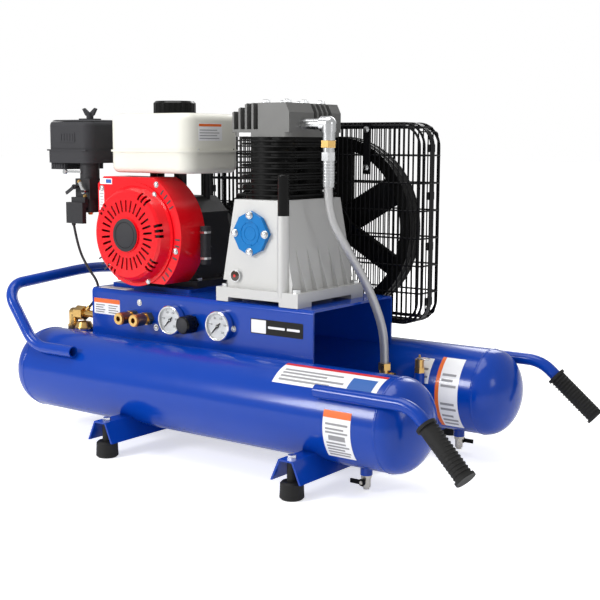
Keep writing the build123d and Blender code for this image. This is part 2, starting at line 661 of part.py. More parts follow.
def make_pump_head():
    x0, x1, y0, y1 = HEAD_BOX
    cx, cy, w, d = (x0 + x1) / 2, (y0 + y1) / 2, x1 - x0, y1 - y0
    plate = Pos(cx, cy, BLOCK_TOP) * extrude(RectangleRounded(w, d, 12), HEAD_BASE - BLOCK_TOP)
    body = prism_y([(x0, HEAD_BASE), (x0, HEAD_TOP - 16), (x0 + 34, HEAD_TOP), (x1 - 8, HEAD_TOP),
                    (x1, HEAD_TOP - 16), (x1, HEAD_BASE)], y0, y1)
    for k in range(4):
        a = x0 + 4 + k * 14.5
        body -= block(a, a + 10, y0 - 1, y0 + 18, HEAD_BASE + 5, HEAD_TOP + 1)
        body -= block(a, a + 10, y1 - 18, y1 + 1, HEAD_BASE + 5, HEAD_TOP + 1)
    for k in range(8):
        b = y0 + 22 + k * 14.5
        body -= block(x0 - 1, x0 + 12, b, b + 10, HEAD_BASE + 5, HEAD_TOP + 1)
    for b in (y0 + 72, y0 + 86.5, y0 + 101, y0 + 115.5):
        body -= block(x1 - 12, x1 + 1, b, b + 10, HEAD_BASE + 5, HEAD_TOP + 1)
    bolts = [hex_z(12, HEAD_TOP, HEAD_TOP + 5, cx + a, cy + b) for a in (-8, 38) for b in (-50, 0, 50)]
    add("pump_head", body + bolts, plate)
    filt = rod_y(9, y1, y1 + 10, cx - 25, 598) + rod_y(22, y1 + 10, y1 + 50, cx - 25, 598)
    add("intake_filter", fillet(filt.edges().group_by(Axis.Y)[-1], 4))


def make_pistons():
    pistons = []
    for y, phase in zip(CYLINDER_YS, (1, -1)):
        wrist = PUMP_Z + phase * THROW + ROD_LENGTH
        piston = rod_z(BORE_R - SLIP, wrist - 15, wrist + 54, PUMP_X, y)
        piston -= rod_z(BORE_R - 2.5, wrist - 16, wrist + 49, PUMP_X, y)
        pistons.append(piston)
    add("pump_pistons", *pistons)


def make_crank_and_rods():
    y_a, y_b = CYLINDER_YS
    half_pin, web = 11.0, 10.0
    shaft = rod_y(FRONT_SHAFT_R, PUMP_FRONT - 3, y_a - half_pin - web, PUMP_X, PUMP_Z)
    shaft += rod_y(14, y_a + half_pin + web, y_b - half_pin - web, PUMP_X, PUMP_Z)
    shaft += rod_y(SHAFT_R, y_b + half_pin + web, FLYWHEEL_Y + RIM_WIDTH / 2 + 4, PUMP_X, PUMP_Z)
    shaft += hex_y(24, FLYWHEEL_Y + RIM_WIDTH / 2 + 4, FLYWHEEL_Y + RIM_WIDTH / 2 + 14, PUMP_X, PUMP_Z)
    for y, phase, rod_name in ((y_a, 1, "front_connecting_rod"), (y_b, -1, "rear_connecting_rod")):
        pin_z = PUMP_Z + phase * THROW
        shaft += rod_y(PIN_R, y - half_pin, y + half_pin, PUMP_X, pin_z)
        for y0 in (y - half_pin - web, y + half_pin):
            z_low, z_high = sorted((PUMP_Z - phase * 22, pin_z))
            shaft += rod_y(15, y0, y0 + web, PUMP_X, pin_z)
            shaft += rod_y(26, y0, y0 + web, PUMP_X, PUMP_Z - phase * 8)
            shaft += block(PUMP_X - 15, PUMP_X + 15, y0, y0 + web, z_low, z_high)
        top_z = pin_z + ROD_LENGTH
        rod = rod_y(18, y - 10, y + 10, PUMP_X, pin_z) + rod_y(8, y - 8, y + 8, PUMP_X, top_z)
        rod += block(PUMP_X - 5, PUMP_X + 5, y - 7, y + 7, pin_z, top_z)
        rod -= rod_y(PIN_R + RUN_CLEAR, y - 11, y + 11, PUMP_X, pin_z)
        rod -= rod_y(5, y - 11, y + 11, PUMP_X, top_z)
        add(rod_name, rod)
    add("pump_crankshaft", shaft)


# ---- belt drive ----
def belt_planes():
    return [FLYWHEEL_Y - BELT_SPACING / 2, FLYWHEEL_Y + BELT_SPACING / 2]


def grooved(radius, x, z):
    """A pulley rim's outer form with its belt grooves."""
    rim = rod_y(radius, FLYWHEEL_Y - RIM_WIDTH / 2, FLYWHEEL_Y + RIM_WIDTH / 2, x, z)
    half = BELT_WIDTH / 2 + GROOVE_GAP
    depth = BELT_DEPTH + 1.5
    for y in belt_planes():
        rim -= turned_y([(radius + 1, y - half), (radius - depth, y - half),
                         (radius - depth, y + half), (radius + 1, y + half)], x, z)
    return rim


def make_flywheel():
    y0, y1 = FLYWHEEL_Y - RIM_WIDTH / 2, FLYWHEEL_Y + RIM_WIDTH / 2
    wheel = grooved(FLYWHEEL_R, PUMP_X, PUMP_Z) - rod_y(RIM_IN, y0 - 1, y1 + 1, PUMP_X, PUMP_Z)
    hub = rod_y(27, y0 + 2, y1 + 2, PUMP_X, PUMP_Z)
    for k in range(6):
        blade = Pos(PUMP_X, FLYWHEEL_Y, PUMP_Z + (RIM_IN + 24) / 2) * Rot(0, 0, 28) * Box(54, 6, RIM_IN - 20)
        hub += blade.rotate(Axis((PUMP_X, 0, PUMP_Z), (0, 1, 0)), 60 * k)
    wheel += hub
    wheel -= rod_y(SHAFT_R, y0 - 30, y1 + 30, PUMP_X, PUMP_Z)
    add("pump_flywheel", wheel)


def on_rim(x, z, r, angle, y):
    """A point on a circle that stands across the Y axis."""
    return x + r * math.cos(angle), y, z + r * math.sin(angle)


def make_belts():
    """Two closed belts: arcs on each pulley and the tangent runs between them."""
    dx, dz = PUMP_X - ENGINE_X, PUMP_Z - ENGINE_Z
    span = math.hypot(dx, dz)
    slope = math.atan2(dz, dx)
    belts = []
    for y in belt_planes():
        loops = []
        for depth in (0.5, BELT_DEPTH + 0.5):
            big, small = FLYWHEEL_R - depth, ENGINE_PULLEY_R - depth
            lean = math.asin((big - small) / span)
            up, down = slope + math.pi / 2 + lean, slope - math.pi / 2 - lean
            side = y - BELT_WIDTH / 2
            a, b = on_rim(ENGINE_X, ENGINE_Z, small, up, side), on_rim(PUMP_X, PUMP_Z, big, up, side)
            c, d = on_rim(PUMP_X, PUMP_Z, big, down, side), on_rim(ENGINE_X, ENGINE_Z, small, down, side)
            far = on_rim(PUMP_X, PUMP_Z, big, slope, side)
            near = on_rim(ENGINE_X, ENGINE_Z, small, slope + math.pi, side)
            edges = [Line(a, b), ThreePointArc(b, far, c), Line(c, d), ThreePointArc(d, near, a)]
            loops.append(extrude(make_face(edges), BELT_WIDTH, dir=(0, 1, 0)))
        belts.append(loops[0] - loops[1])
    add("drive_belts", *belts)


def guard_half(face_y, split_y):
    """One tray of the guard: a barred face with a barred rim round it."""
    x0, x1, z0, z1 = GUARD
    cx, cz, w, h = (x0 + x1) / 2, (z0 + z1) / 2, x1 - x0, z1 - z0
    y0, y1 = sorted((face_y, split_y))
    depth = y1 - y0
    tray = Pos(cx, y1, cz) * Rot(90, 0, 0) * extrude(RectangleRounded(w, h, GUARD_CORNER), depth)
    a, b = (y0 + GUARD_T, y1 + 1) if face_y < split_y else (y0 - 1, y1 - GUARD_T)
    inner = RectangleRounded(w - 2 * GUARD_T, h - 2 * GUARD_T, GUARD_CORNER - GUARD_T)
    tray -= Pos(cx, b, cz) * Rot(90, 0, 0) * extrude(inner, b - a)
    columns = int((w - 40) // GUARD_PITCH_X)
    rows = int((h - 30) // GUARD_PITCH_Z)
    cuts = []
    for spot in GridLocations(GUARD_PITCH_X, GUARD_PITCH_Z, columns, rows):
        px, pz = spot.position.X, spot.position.Y
        cuts.append(Pos(cx + px, face_y, cz + pz) * Box(GUARD_PITCH_X - 4, 4 * GUARD_T, GUARD_PITCH_Z - 4))
    mid_y = (y0 + y1) / 2
    for k in range(columns - 3):
        px = cx + (k - (columns - 4) / 2) * GUARD_PITCH_X
        for z in (z0, z1):
            cuts.append(Pos(px, mid_y, z) * Box(GUARD_PITCH_X - 4, depth - 12, 4 * GUARD_T))
    side_rows = int((h - 2 * GUARD_CORNER) // GUARD_PITCH_X)
    for k in range(side_rows):
        pz = cz + (k - (side_rows - 1) / 2) * GUARD_PITCH_X
        for x in (x0, x1):
            cuts.append(Pos(x, mid_y, pz) * Box(4 * GUARD_T, depth - 12, GUARD_PITCH_X - 4))
    return tray - cuts


def make_guard():
    front = guard_half(GUARD_Y0, GUARD_SPLIT)
    front -= rod_y(SHAFT_R + 20, GUARD_Y0 - 10, GUARD_Y0 + 10, PUMP_X, PUMP_Z)
    front -= rod_y(ENGINE_SHAFT_R + 20, GUARD_Y0 - 10, GUARD_Y0 + 10, ENGINE_X, ENGINE_Z)
    front += block(142, 155, GUARD_Y0 - 4, GUARD_Y0 + 1, 503, 593)
    for x in (-150, 150):
        front += block(x - 20, x + 20, DECK_HALF_Y, GUARD_Y0 + 1, 232, 268)
    add("guard_front", front)
    add("guard_rear", guard_half(GUARD_Y1, GUARD_SPLIT))


# ---- engine ----
def make_engine_shaft():
    y1 = FLYWHEEL_Y + RIM_WIDTH / 2 + 6
    shaft = rod_y(ENGINE_SHAFT_R, SHROUD_Y0 + 14, y1, ENGINE_X, ENGINE_Z)
    pulley = grooved(ENGINE_PULLEY_R, ENGINE_X, ENGINE_Z)
    pulley -= rod_y(ENGINE_SHAFT_R, 0, 300, ENGINE_X, ENGINE_Z)
    add("engine_crankshaft", shaft, pulley)
    fan = rod_y(FAN_R, -68, -62, ENGINE_X, ENGINE_Z) + rod_y(24, -96, -62, ENGINE_X, ENGINE_Z)
    for k in range(18):
        blade = block(ENGINE_X - 1.5, ENGINE_X + 1.5, -92, -68, ENGINE_Z + 56, ENGINE_Z + FAN_R - 2)
        fan += blade.rotate(Axis((ENGINE_X, 0, ENGINE_Z), (0, 1, 0)), 20 * k)
    fan -= rod_y(ENGINE_SHAFT_R, -120, 0, ENGINE_X, ENGINE_Z)
    add("engine_fan", fan)


def make_engine_case():
    low = DECK_TOP + PLATE_T
    tilt = math.radians(CYL_TILT)
    face_x, face_z = ENGINE_X - NECK * math.cos(tilt), ENGINE_Z + NECK * math.sin(tilt)
    lean_x, lean_z = 42 * math.sin(tilt), 42 * math.cos(tilt)
    high, low_corner = (face_x + lean_x, face_z + lean_z), (face_x - lean_x, face_z - lean_z)
    case = prism_y([(-280, FOOT_TOP - 2), (-130, FOOT_TOP - 2), (-130, 425), (-160, high[1]), high,
                    low_corner, (-280, 360)], CASE_Y0, CASE_Y1)
    case += rod_y(58, CASE_Y1, CASE_Y1 + 26, ENGINE_X, ENGINE_Z)
    case += rod_y(30, CASE_Y1, CASE_Y1 + 38, ENGINE_X, ENGINE_Z)
    foot = block(ENGINE_X - 93, ENGINE_X + 93, CASE_Y0, CASE_Y1, low, FOOT_TOP)
    case += foot
    for x in (-236, -160):
        for y in (-34, 34):
            case += rod_z(7, 440, FUEL[4], x, y)
    case -= rod_y(ENGINE_SHAFT_R + RUN_CLEAR, CASE_Y0 - 1, CASE_Y1 + 60, ENGINE_X, ENGINE_Z)
    for x, y, _ in engine_bolt_places():
        case -= rod_z(BOLT_R + BOLT_CLEAR, low - 1, FOOT_TOP + 1, x, y)
        case -= rod_z(BOLT_AF * 0.62, FOOT_TOP, FOOT_TOP + 10, x, y)
    add("engine_crankcase", case)


def make_engine_cylinder():
    tilt = math.radians(CYL_TILT)
    along = Vector(-math.cos(tilt), 0, math.sin(tilt))
    frame = Plane(Vector(ENGINE_X, 0, ENGINE_Z), x_dir=(0, 1, 0), z_dir=along)
    place = frame.location

    def slab(w0, w1, across, tall, round_r):
        return place * Pos(0, 0, w0) * extrude(RectangleRounded(across, tall, round_r), w1 - w0)

    barrel = slab(NECK, 118, 70, 66, 20)
    for k in range(5):
        barrel += slab(74 + 9 * k, 77 + 9 * k, 92, 84, 8)
    head = slab(118, 126, 92, 84, 8) + slab(126, 150, 78, 70, 6)
    for k in range(2):
        head += slab(131 + 9 * k, 134 + 9 * k, 92, 84, 8)
    cover = slab(150, 172, 76, 62, 12) + slab(150, 153, 84, 70, 8)
    add("engine_cylinder", barrel, head, cover)


def shroud_outline(inset=0.0):
    """The fan shroud's outline in X and Z: a flat foot, a round right side and a square left shoulder."""
    r = SHROUD_R - inset
    left = -302 + inset
    p_top, p_side, p_low = [on_rim(ENGINE_X, ENGINE_Z, r, math.radians(a), 0) for a in (68, 8, -51)]
    top_z = p_top[2]
    return [
        ThreePointArc(p_low, p_side, p_top),
        Line(p_top, (left + 16, 0, top_z)),
        Line((left + 16, 0, top_z), (left, 0, top_z - 14)),
        Line((left, 0, top_z - 14), (left, 0, 365)),
        Line((left, 0, 365), (-252 + inset * 0.4, 0, p_low[2])),
        Line((-252 + inset * 0.4, 0, p_low[2]), p_low),
    ]


def make_shroud():
    depth = SHROUD_Y1 - SHROUD_Y0
    outer = Pos(0, SHROUD_Y0, 0) * extrude(make_face(shroud_outline()), depth, dir=(0, 1, 0))
    inner = Pos(0, SHROUD_Y0 + SHROUD_WALL, 0) * extrude(
        make_face(shroud_outline(SHROUD_WALL)), depth, dir=(0, 1, 0))
    shroud = outer - inner
    shroud -= rod_y(RECOIL_R - 10, SHROUD_Y0 - 5, SHROUD_Y0 + 10, ENGINE_X, ENGINE_Z)
    add("fan_shroud", shroud)
    y0, y1 = RECOIL_Y, SHROUD_Y0
    cover = turned_y([(RECOIL_R, y1), (RECOIL_R, y1 - 3), (RECOIL_R - 6, y1 - 3), (RECOIL_R - 13, y0 + 4),
                      (RECOIL_R - 18, y0), (0, y0), (0, y0 + 2.5), (RECOIL_R - 19, y0 + 2.5),
                      (RECOIL_R - 15.5, y0 + 5), (RECOIL_R - 9, y1)], ENGINE_X, ENGINE_Z)
    axis = Axis((ENGINE_X, 0, ENGINE_Z), (0, 1, 0))
    cuts = []
    for k in range(30):
        slot = block(ENGINE_X - 2, ENGINE_X + 2, y0 - 1, y0 + 6, ENGINE_Z + 43, ENGINE_Z + 65)
        cuts.append(slot.rotate(axis, 12 * k))
    for start in (25, 75, 125, 205, 300):
        for k in range(3):
            slot = block(ENGINE_X - 2.5, ENGINE_X + 2.5, y0 - 4, y0 + 14, ENGINE_Z + 72, ENGINE_Z + 86)
            cuts.append(slot.rotate(axis, start + 7 * k))
    cover = cover - cuts
    cover += rod_y(32, y0 - 3, y0, ENGINE_X, ENGINE_Z)
    add("recoil_cover", cover)
    grip = block(-86, -70, -74, -56, 334, 404)
    grip = fillet(grip.edges().filter_by(Axis.Z), 6)
    add("starter_grip", grip)


def make_fuel_tank():
    x0, x1, y0, y1, z0, z1 = FUEL
    cx, cy, w, d = (x0 + x1) / 2, (y0 + y1) / 2, x1 - x0, y1 - y0
    body = Pos(cx, cy, z0) * extrude(RectangleRounded(w, d, 28), z1 - z0)
    body = fillet(body.edges().group_by(Axis.Z)[-1], 14)
    body = fillet(body.edges().group_by(Axis.Z)[0], 12)
    body += Pos(cx, cy, SEAM_Z - 2) * extrude(RectangleRounded(w + 6, d + 6, 30), 4)
    t = FUEL_WALL
    inside = Pos(cx, cy, z0 + t) * extrude(RectangleRounded(w - 2 * t, d - 2 * t, 25), z1 - z0 - 2 * t)
    inside = fillet(inside.edges().group_by(Axis.Z)[-1], 12)
    inside = fillet(inside.edges().group_by(Axis.Z)[0], 10)
    x, y = FUEL_CAP
    body += rod_z(32, z1 - 4, z1 + 6, x, y)
    body = body - inside - rod_z(28, z1 - 20, z1 + 10, x, y)
    add("fuel_tank", body)
    cap = turned_z([(0, z1 + 24), (FUEL_CAP_R - 4, z1 + 24), (FUEL_CAP_R, z1 + 20), (FUEL_CAP_R, z1 + 1),
                    (FUEL_CAP_R - 3, z1 + 1), (FUEL_CAP_R - 3, z1 + 6.3), (0, z1 + 6.3)], x, y)
    for k in range(24):
        groove = rod_z(2, z1, z1 + 20, x + FUEL_CAP_R + 0.6, y)
        cap -= groove.rotate(Axis((x, y, 0), (0, 0, 1)), 15 * k)
    add("fuel_cap", cap)


def make_air_cleaner():
    x0, x1, y0, y1 = AIR
    cx, cy, w, d = (x0 + x1) / 2, (y0 + y1) / 2, x1 - x0, y1 - y0
    base = Pos(cx, cy, AIR_BASE_Z) * extrude(RectangleRounded(w, d, 22), AIR_SPLIT - AIR_BASE_Z)
    base -= Pos(cx, cy, AIR_BASE_Z + 4) * extrude(RectangleRounded(w - 6, d - 6, 19), 60)
    base += Pos(x0 + 24, cy, AIR_BASE_Z - 13) * extrude(RectangleRounded(48, d - 20, 12), 13)
    base += rod_z(3, AIR_BASE_Z + 3, AIR_TOP + 16, cx, cy)
    add("air_cleaner_base", base)
    cover = Pos(cx, cy, AIR_SPLIT) * extrude(RectangleRounded(w - 4, d - 4, 22), AIR_TOP - AIR_SPLIT)
    cover = fillet(cover.edges().group_by(Axis.Z)[-1], 12)
    hollow = extrude(RectangleRounded(w - 10, d - 10, 19), AIR_TOP - AIR_SPLIT - 2)
    cover -= Pos(cx, cy, AIR_SPLIT - 1) * hollow
    cover += rod_z(22, AIR_TOP - 2, AIR_TOP + 3, cx, cy)
    cover -= rod_z(3.4, AIR_SPLIT, AIR_TOP + 10, cx, cy)
    add("air_cleaner_cover", cover)
    nut = rod_z(7, AIR_TOP + 3, AIR_TOP + 14, cx, cy)
    for side in (-1, 1):
        wing = [(0, AIR_TOP + 4), (side * 12, AIR_TOP + 10), (side * 20, AIR_TOP + 22),
                (side * 14, AIR_TOP + 24), (0, AIR_TOP + 14)]
        nut += prism_y([(cx + a, z) for a, z in wing], cy - 2, cy + 2)
    nut -= rod_z(3 + RUN_CLEAR, AIR_TOP, AIR_TOP + 40, cx, cy)
    add("air_cleaner_wing_nut", nut)


def make_carburetor():
    x0, x1, y0, y1 = CARB
    cx, cy = (x0 + x1) / 2, (y0 + y1) / 2
    body = block(x0, x1, y0, y1, 446, 486) + rod_z(17, 420, 446, cx, cy)
    body = body + rod_z(19, 486, AIR_BASE_Z, cx, cy)
    body += block(x0 + 12, -325, y1, -46, 446, 474)
    body += block(x0 - 4, x0 + 34, y0 - 8, y0, 430, 450)
    ex, ey, ez = CABLE_ROUTE[0]
    body += block(ex - 16, ex + 30, ey - 5, ey + 5, ez + 4, 440)
    back = (Vector(*CABLE_ROUTE[0]) - Vector(*CABLE_ROUTE[1])).normalized() * 9
    body += rod_between(CABLE_ROUTE[0], tuple(Vector(*CABLE_ROUTE[0]) + back), 4)
    body += rod_y(2.5, y0 - 16, y0, cx - 12, 470) + rod_y(2.5, y0 - 16, y0, cx + 14, 462)
    body -= rod_z(12, 452, AIR_BASE_Z + 1, cx, cy)
    add("carburetor", body)
    levers = (("choke_lever", cx - 12, 470, 26, 150), ("throttle_lever", cx + 14, 462, 20, -120))
    for name, x, z, length, lean in levers:
        lever = rod_y(5, y0 - 13, y0 - 10, x, z) + block(x, x + length, y0 - 13, y0 - 10, z - 3, z + 3)
        lever = lever - rod_y(2.5 + RUN_CLEAR, y0 - 20, y0, x, z)
        add(name, lever.rotate(Axis((x, 0, z), (0, 1, 0)), lean))


def make_muffler():
    x0, x1, y0, y1, z0, z1 = MUFFLER
    can = block(x0, x1, y0, y1, z0, z1)
    can = fillet(can.edges(), 10)
    can += rod_y(12, 46, 80, -330, 452) + rod_z(12, 452, z0 + 6, -330, 80) + Pos(-330, 80, 452) * Sphere(12)
    can += block(-354, -306, 46, 51, 432, 470)
    can += rod_y(9, y1 - 2, y1 + 14, x0 + 24, z0 + 24) - rod_y(7, y1 - 1, y1 + 15, x0 + 24, z0 + 24)
    add("muffler", can)


def settle():
    """Moves everything so that the origin lies under the middle of the whole, then writes each piece."""
    boxes = [shape.bounding_box() for shape in pieces.values()]
    low = [min(getattr(b.min, k) for b in boxes) for k in "XYZ"]
    high = [max(getattr(b.max, k) for b in boxes) for k in "XYZ"]
    shift = Vector(-(low[0] + high[0]) / 2, -(low[1] + high[1]) / 2, -low[2])
    print("box", [round(v, 2) for v in low + high], "shift", shift)
    os.makedirs("parts", exist_ok=True)
    for name, shape in pieces.items():
        export_step(shape.moved(Location(shift)), f"parts/{name}.step")


make_tanks()
make_crossover()
make_rails()
make_feet()
make_deck()
make_slide_plate()
make_carry_bar()
make_push_handles()
make_bolts()
make_drains()
make_outlets()
make_gauges()
make_knob()
make_tank_valves()
make_discharge()
make_pump_case()
make_pump_trim()
make_cylinder_block()
make_pump_head()
make_pistons()
make_crank_and_rods()
make_flywheel()
make_belts()
make_guard()
make_engine_shaft()
make_engine_case()
make_engine_cylinder()
make_shroud()
make_fuel_tank()
make_air_cleaner()
make_carburetor()
make_muffler()
settle()
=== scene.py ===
"""Looks for a two-tank portable air compressor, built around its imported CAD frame.

Sizes in the classes below are millimetres in the drawing's own axes: x along the tanks from their
middle, y towards the belt side, z up from the floor. A Blank turns them into metres in the frame.
"""

from __future__ import annotations

import json
import logging
import math
from dataclasses import dataclass, field
from enum import Enum
from typing import Callable, Sequence

import bmesh
import bpy
from mathutils import Matrix, Vector

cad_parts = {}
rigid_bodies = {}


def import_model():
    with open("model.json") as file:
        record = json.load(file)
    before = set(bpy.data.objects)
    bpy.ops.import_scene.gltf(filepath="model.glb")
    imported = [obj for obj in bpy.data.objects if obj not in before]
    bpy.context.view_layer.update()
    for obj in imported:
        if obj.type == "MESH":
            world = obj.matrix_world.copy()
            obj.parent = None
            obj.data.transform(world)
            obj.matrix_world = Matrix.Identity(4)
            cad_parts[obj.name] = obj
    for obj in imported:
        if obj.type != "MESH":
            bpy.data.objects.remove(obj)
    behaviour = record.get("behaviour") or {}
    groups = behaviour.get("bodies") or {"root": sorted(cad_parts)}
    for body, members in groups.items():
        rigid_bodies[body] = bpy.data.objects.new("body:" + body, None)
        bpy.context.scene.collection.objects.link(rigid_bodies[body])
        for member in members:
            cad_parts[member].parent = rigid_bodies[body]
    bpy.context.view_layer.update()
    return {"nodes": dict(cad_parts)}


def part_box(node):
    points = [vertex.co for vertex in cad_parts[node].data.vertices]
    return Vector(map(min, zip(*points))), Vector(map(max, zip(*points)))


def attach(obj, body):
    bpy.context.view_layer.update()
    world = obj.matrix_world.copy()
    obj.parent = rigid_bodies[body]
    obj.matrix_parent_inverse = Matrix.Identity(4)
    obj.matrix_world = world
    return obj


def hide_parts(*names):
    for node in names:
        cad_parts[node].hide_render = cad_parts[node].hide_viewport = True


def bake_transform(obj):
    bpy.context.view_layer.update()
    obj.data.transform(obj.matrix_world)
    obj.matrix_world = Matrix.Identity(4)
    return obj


LOG = logging.getLogger("compressor")
MM = 0.001
Point = tuple[float, float, float]
Pair = tuple[float, float]
Colour = tuple[float, float, float]
Bar = tuple[float, float, float, float, int]
Placing = tuple[Point, Point]
Tree, Node, Socket = bpy.types.NodeTree, bpy.types.Node, bpy.types.NodeSocket
Mesh, Piece = bpy.types.Mesh, bpy.types.Object
AHEAD: Point = (0.0, -1.0, 0.0)
UP: Point = (0.0, 0.0, 1.0)
ALONG_Y: Point = (0.0, 1.0, 0.0)
DUST_COLOUR = (0.42, 0.4, 0.37, 1.0)
BROAD_TONE, PATCHY_TONE = 9.0, 46.0
LINES_ROUND, LINES_ALONG = 120.0, 2400.0
COAT_ROUGHNESS = 0.06
LENS_IOR = 1.2
PAINTED_VALLEY_SHADE = 0.25


# ---- named options ----
class Body(str, Enum):
    """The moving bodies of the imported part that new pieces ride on."""

    FRAME = "frame"
    STARTER = "starter_grip"
    FUEL_CAP = "fuel_cap"
    KNOB = "regulator_knob"


class Skin(Enum):
    """How a finish's surface is made up."""

    ENAMEL = "enamel"
    CASTING = "casting"
    PLATED = "plated"
    MOULDED = "moulded"
    RUBBER = "rubber"
    BRAID = "braid"
    PAPER = "paper"
    GLASS = "glass"


# ---- shared shader effects ----
class ShaderKit:
    """Shader node groups that several finishes share, each built once."""

    built: dict[str, Tree] = {}

    @classmethod
    def group(cls, name: str, inputs: dict[str, str], outputs: dict[str, str],
              fill: Callable[[Tree, Node, Node], None]) -> Tree:
        """Finds or builds a group.

        Args:
            name: The group's name.
            inputs: Socket types by input name.
            outputs: Socket types by output name.
            fill: Adds and links the nodes, given the tree, its input node and its output node.

        Returns:
            The group's tree.
        """
        if name not in cls.built:
            tree = bpy.data.node_groups.new(name, "ShaderNodeTree")
            for label, kind in inputs.items():
                tree.interface.new_socket(name=label, in_out="INPUT", socket_type=kind)
            for label, kind in outputs.items():
                tree.interface.new_socket(name=label, in_out="OUTPUT", socket_type=kind)
            fill(tree, tree.nodes.new("NodeGroupInput"), tree.nodes.new("NodeGroupOutput"))
            cls.built[name] = tree
        return cls.built[name]

    @staticmethod
    def math(tree: Tree, operation: str, first: Socket | float,
             second: Socket | float = 0.0, clamp: bool = False) -> Socket:
        """Adds a Math node.

        Args:
            tree: The tree to add it to.
            operation: The Math node's operation.
            first: The first input, a socket or a number.
            second: The second input, a socket or a number.
            clamp: Whether the result stays from 0 to 1.

        Returns:
            The node's output socket.
        """
        node = tree.nodes.new("ShaderNodeMath")
        node.operation = operation
        node.use_clamp = clamp
        for socket, value in zip(node.inputs, (first, second)):
            if isinstance(value, (int, float)):
                socket.default_value = value
            else:
                tree.links.new(value, socket)
        return node.outputs[0]

    @classmethod
    def noise(cls, tree: Tree, vector: Socket, scale: Socket | float,
              detail: float = 3.0) -> Socket:
        """Adds a noise texture on a vector and returns its grey output.

        Args:
            tree: The tree to add it to.
            vector: Where it is read.
            scale: How many features a metre has, a socket or a number.
            detail: How many finer layers it has.

        Returns:
            The noise, from 0 to 1.
        """
        node = tree.nodes.new("ShaderNodeTexNoise")
        node.inputs["Detail"].default_value = detail
        tree.links.new(vector, node.inputs["Vector"])
        if isinstance(scale, (int, float)):
            node.inputs["Scale"].default_value = scale
        else:
            tree.links.new(scale, node.inputs["Scale"])
        return node.outputs["Fac"]

    @classmethod
    def surface_grain(cls) -> Tree:
        """Fine grain for castings, moulded plastic and the orange peel of enamel."""

        def fill(tree: Tree, start: Node, end: Node) -> None:
            """Mixes a coarse and a fine noise into one height."""
            vector = start.outputs["Vector"]
            scale = cls.math(tree, "DIVIDE", 1.0, start.outputs["Size"])
            coarse = cls.noise(tree, vector, scale, 2.0)
            fine = cls.noise(tree, vector, cls.math(tree, "MULTIPLY", scale, 3.7), 4.0)
            parts = [cls.math(tree, "MULTIPLY", noise, share)
                     for noise, share in ((coarse, 0.6), (fine, 0.4))]
            tree.links.new(cls.math(tree, "ADD", *parts), end.inputs["Height"])

        return cls.group("surface_grain", {"Vector": "NodeSocketVector", "Size": "NodeSocketFloat"},
                         {"Height": "NodeSocketFloat"}, fill)

    @classmethod
    def shop_wear(cls) -> Tree:
        """Uneven tone, dust on upward faces and a varied gloss."""

        def fill(tree: Tree, start: Node, end: Node) -> None:
            """Shades the colour by broad noise, then lays dust over what faces up."""
            vector = start.outputs["Vector"]
            broad = cls.noise(tree, vector, BROAD_TONE, 4.0)
            patchy = cls.noise(tree, vector, PATCHY_TONE, 5.0)
            off_middle = cls.math(tree, "SUBTRACT", broad, 0.5)
            swing = cls.math(tree, "MULTIPLY", off_middle, start.outputs["Mottle"])
            tone = cls.math(tree, "ADD", 1.0, cls.math(tree, "MULTIPLY", swing, 2.0))
            shade = tree.nodes.new("ShaderNodeVectorMath")
            shade.operation = "SCALE"
            tree.links.new(start.outputs["Colour"], shade.inputs[0])
            tree.links.new(tone, shade.inputs["Scale"])
            up = tree.nodes.new("ShaderNodeSeparateXYZ")
            geometry = tree.nodes.new("ShaderNodeNewGeometry")
            tree.links.new(geometry.outputs["Normal"], up.inputs[0])
            upward = cls.math(tree, "MAXIMUM", up.outputs["Z"], 0.0)
            level = cls.math(tree, "MULTIPLY", upward, patchy, True)
            dust = cls.math(tree, "MULTIPLY", level, start.outputs["Dust"], True)
            mix = tree.nodes.new("ShaderNodeMix")
            mix.data_type = "RGBA"
            mix.inputs["B"].default_value = DUST_COLOUR
            tree.links.new(dust, mix.inputs["Factor"])
            tree.links.new(shade.outputs[0], mix.inputs["A"])
            tree.links.new(mix.outputs["Result"], end.inputs["Colour"])
            uneven = cls.math(tree, "SUBTRACT", patchy, 0.5)
            stray = cls.math(tree, "MULTIPLY", uneven, start.outputs["Spread"])
            rough = cls.math(tree, "ADD", start.outputs["Roughness"], stray)
            dusty = cls.math(tree, "MULTIPLY", dust, 0.5)
            tree.links.new(cls.math(tree, "ADD", rough, dusty, True), end.inputs["Roughness"])

        return cls.group(
            "shop_wear",
            {"Vector": "NodeSocketVector", "Colour": "NodeSocketColor", "Mottle": "NodeSocketFloat",
             "Dust": "NodeSocketFloat", "Roughness": "NodeSocketFloat", "Spread": "NodeSocketFloat"},
            {"Colour": "NodeSocketColor", "Roughness": "NodeSocketFloat"}, fill)

    @classmethod
    def brushed_lines(cls) -> Tree:
        """Fine tool lines for plated and turned metal."""

        def fill(tree: Tree, start: Node, end: Node) -> None:
            """Squeezes a noise so that its features run round the part."""
            stretch = tree.nodes.new("ShaderNodeMapping")
            stretch.inputs["Scale"].default_value = (LINES_ROUND, LINES_ROUND, LINES_ALONG)
            tree.links.new(start.outputs["Vector"], stretch.inputs["Vector"])
            tree.links.new(cls.noise(tree, stretch.outputs[0], 1.0, 2.0), end.inputs["Height"])

        return cls.group("brushed_lines", {"Vector": "NodeSocketVector"},
                         {"Height": "NodeSocketFloat"}, fill)

    @classmethod
    def woven_braid(cls) -> Tree:
        """Two crossing families of strands, read from a tube's own map in strand widths."""

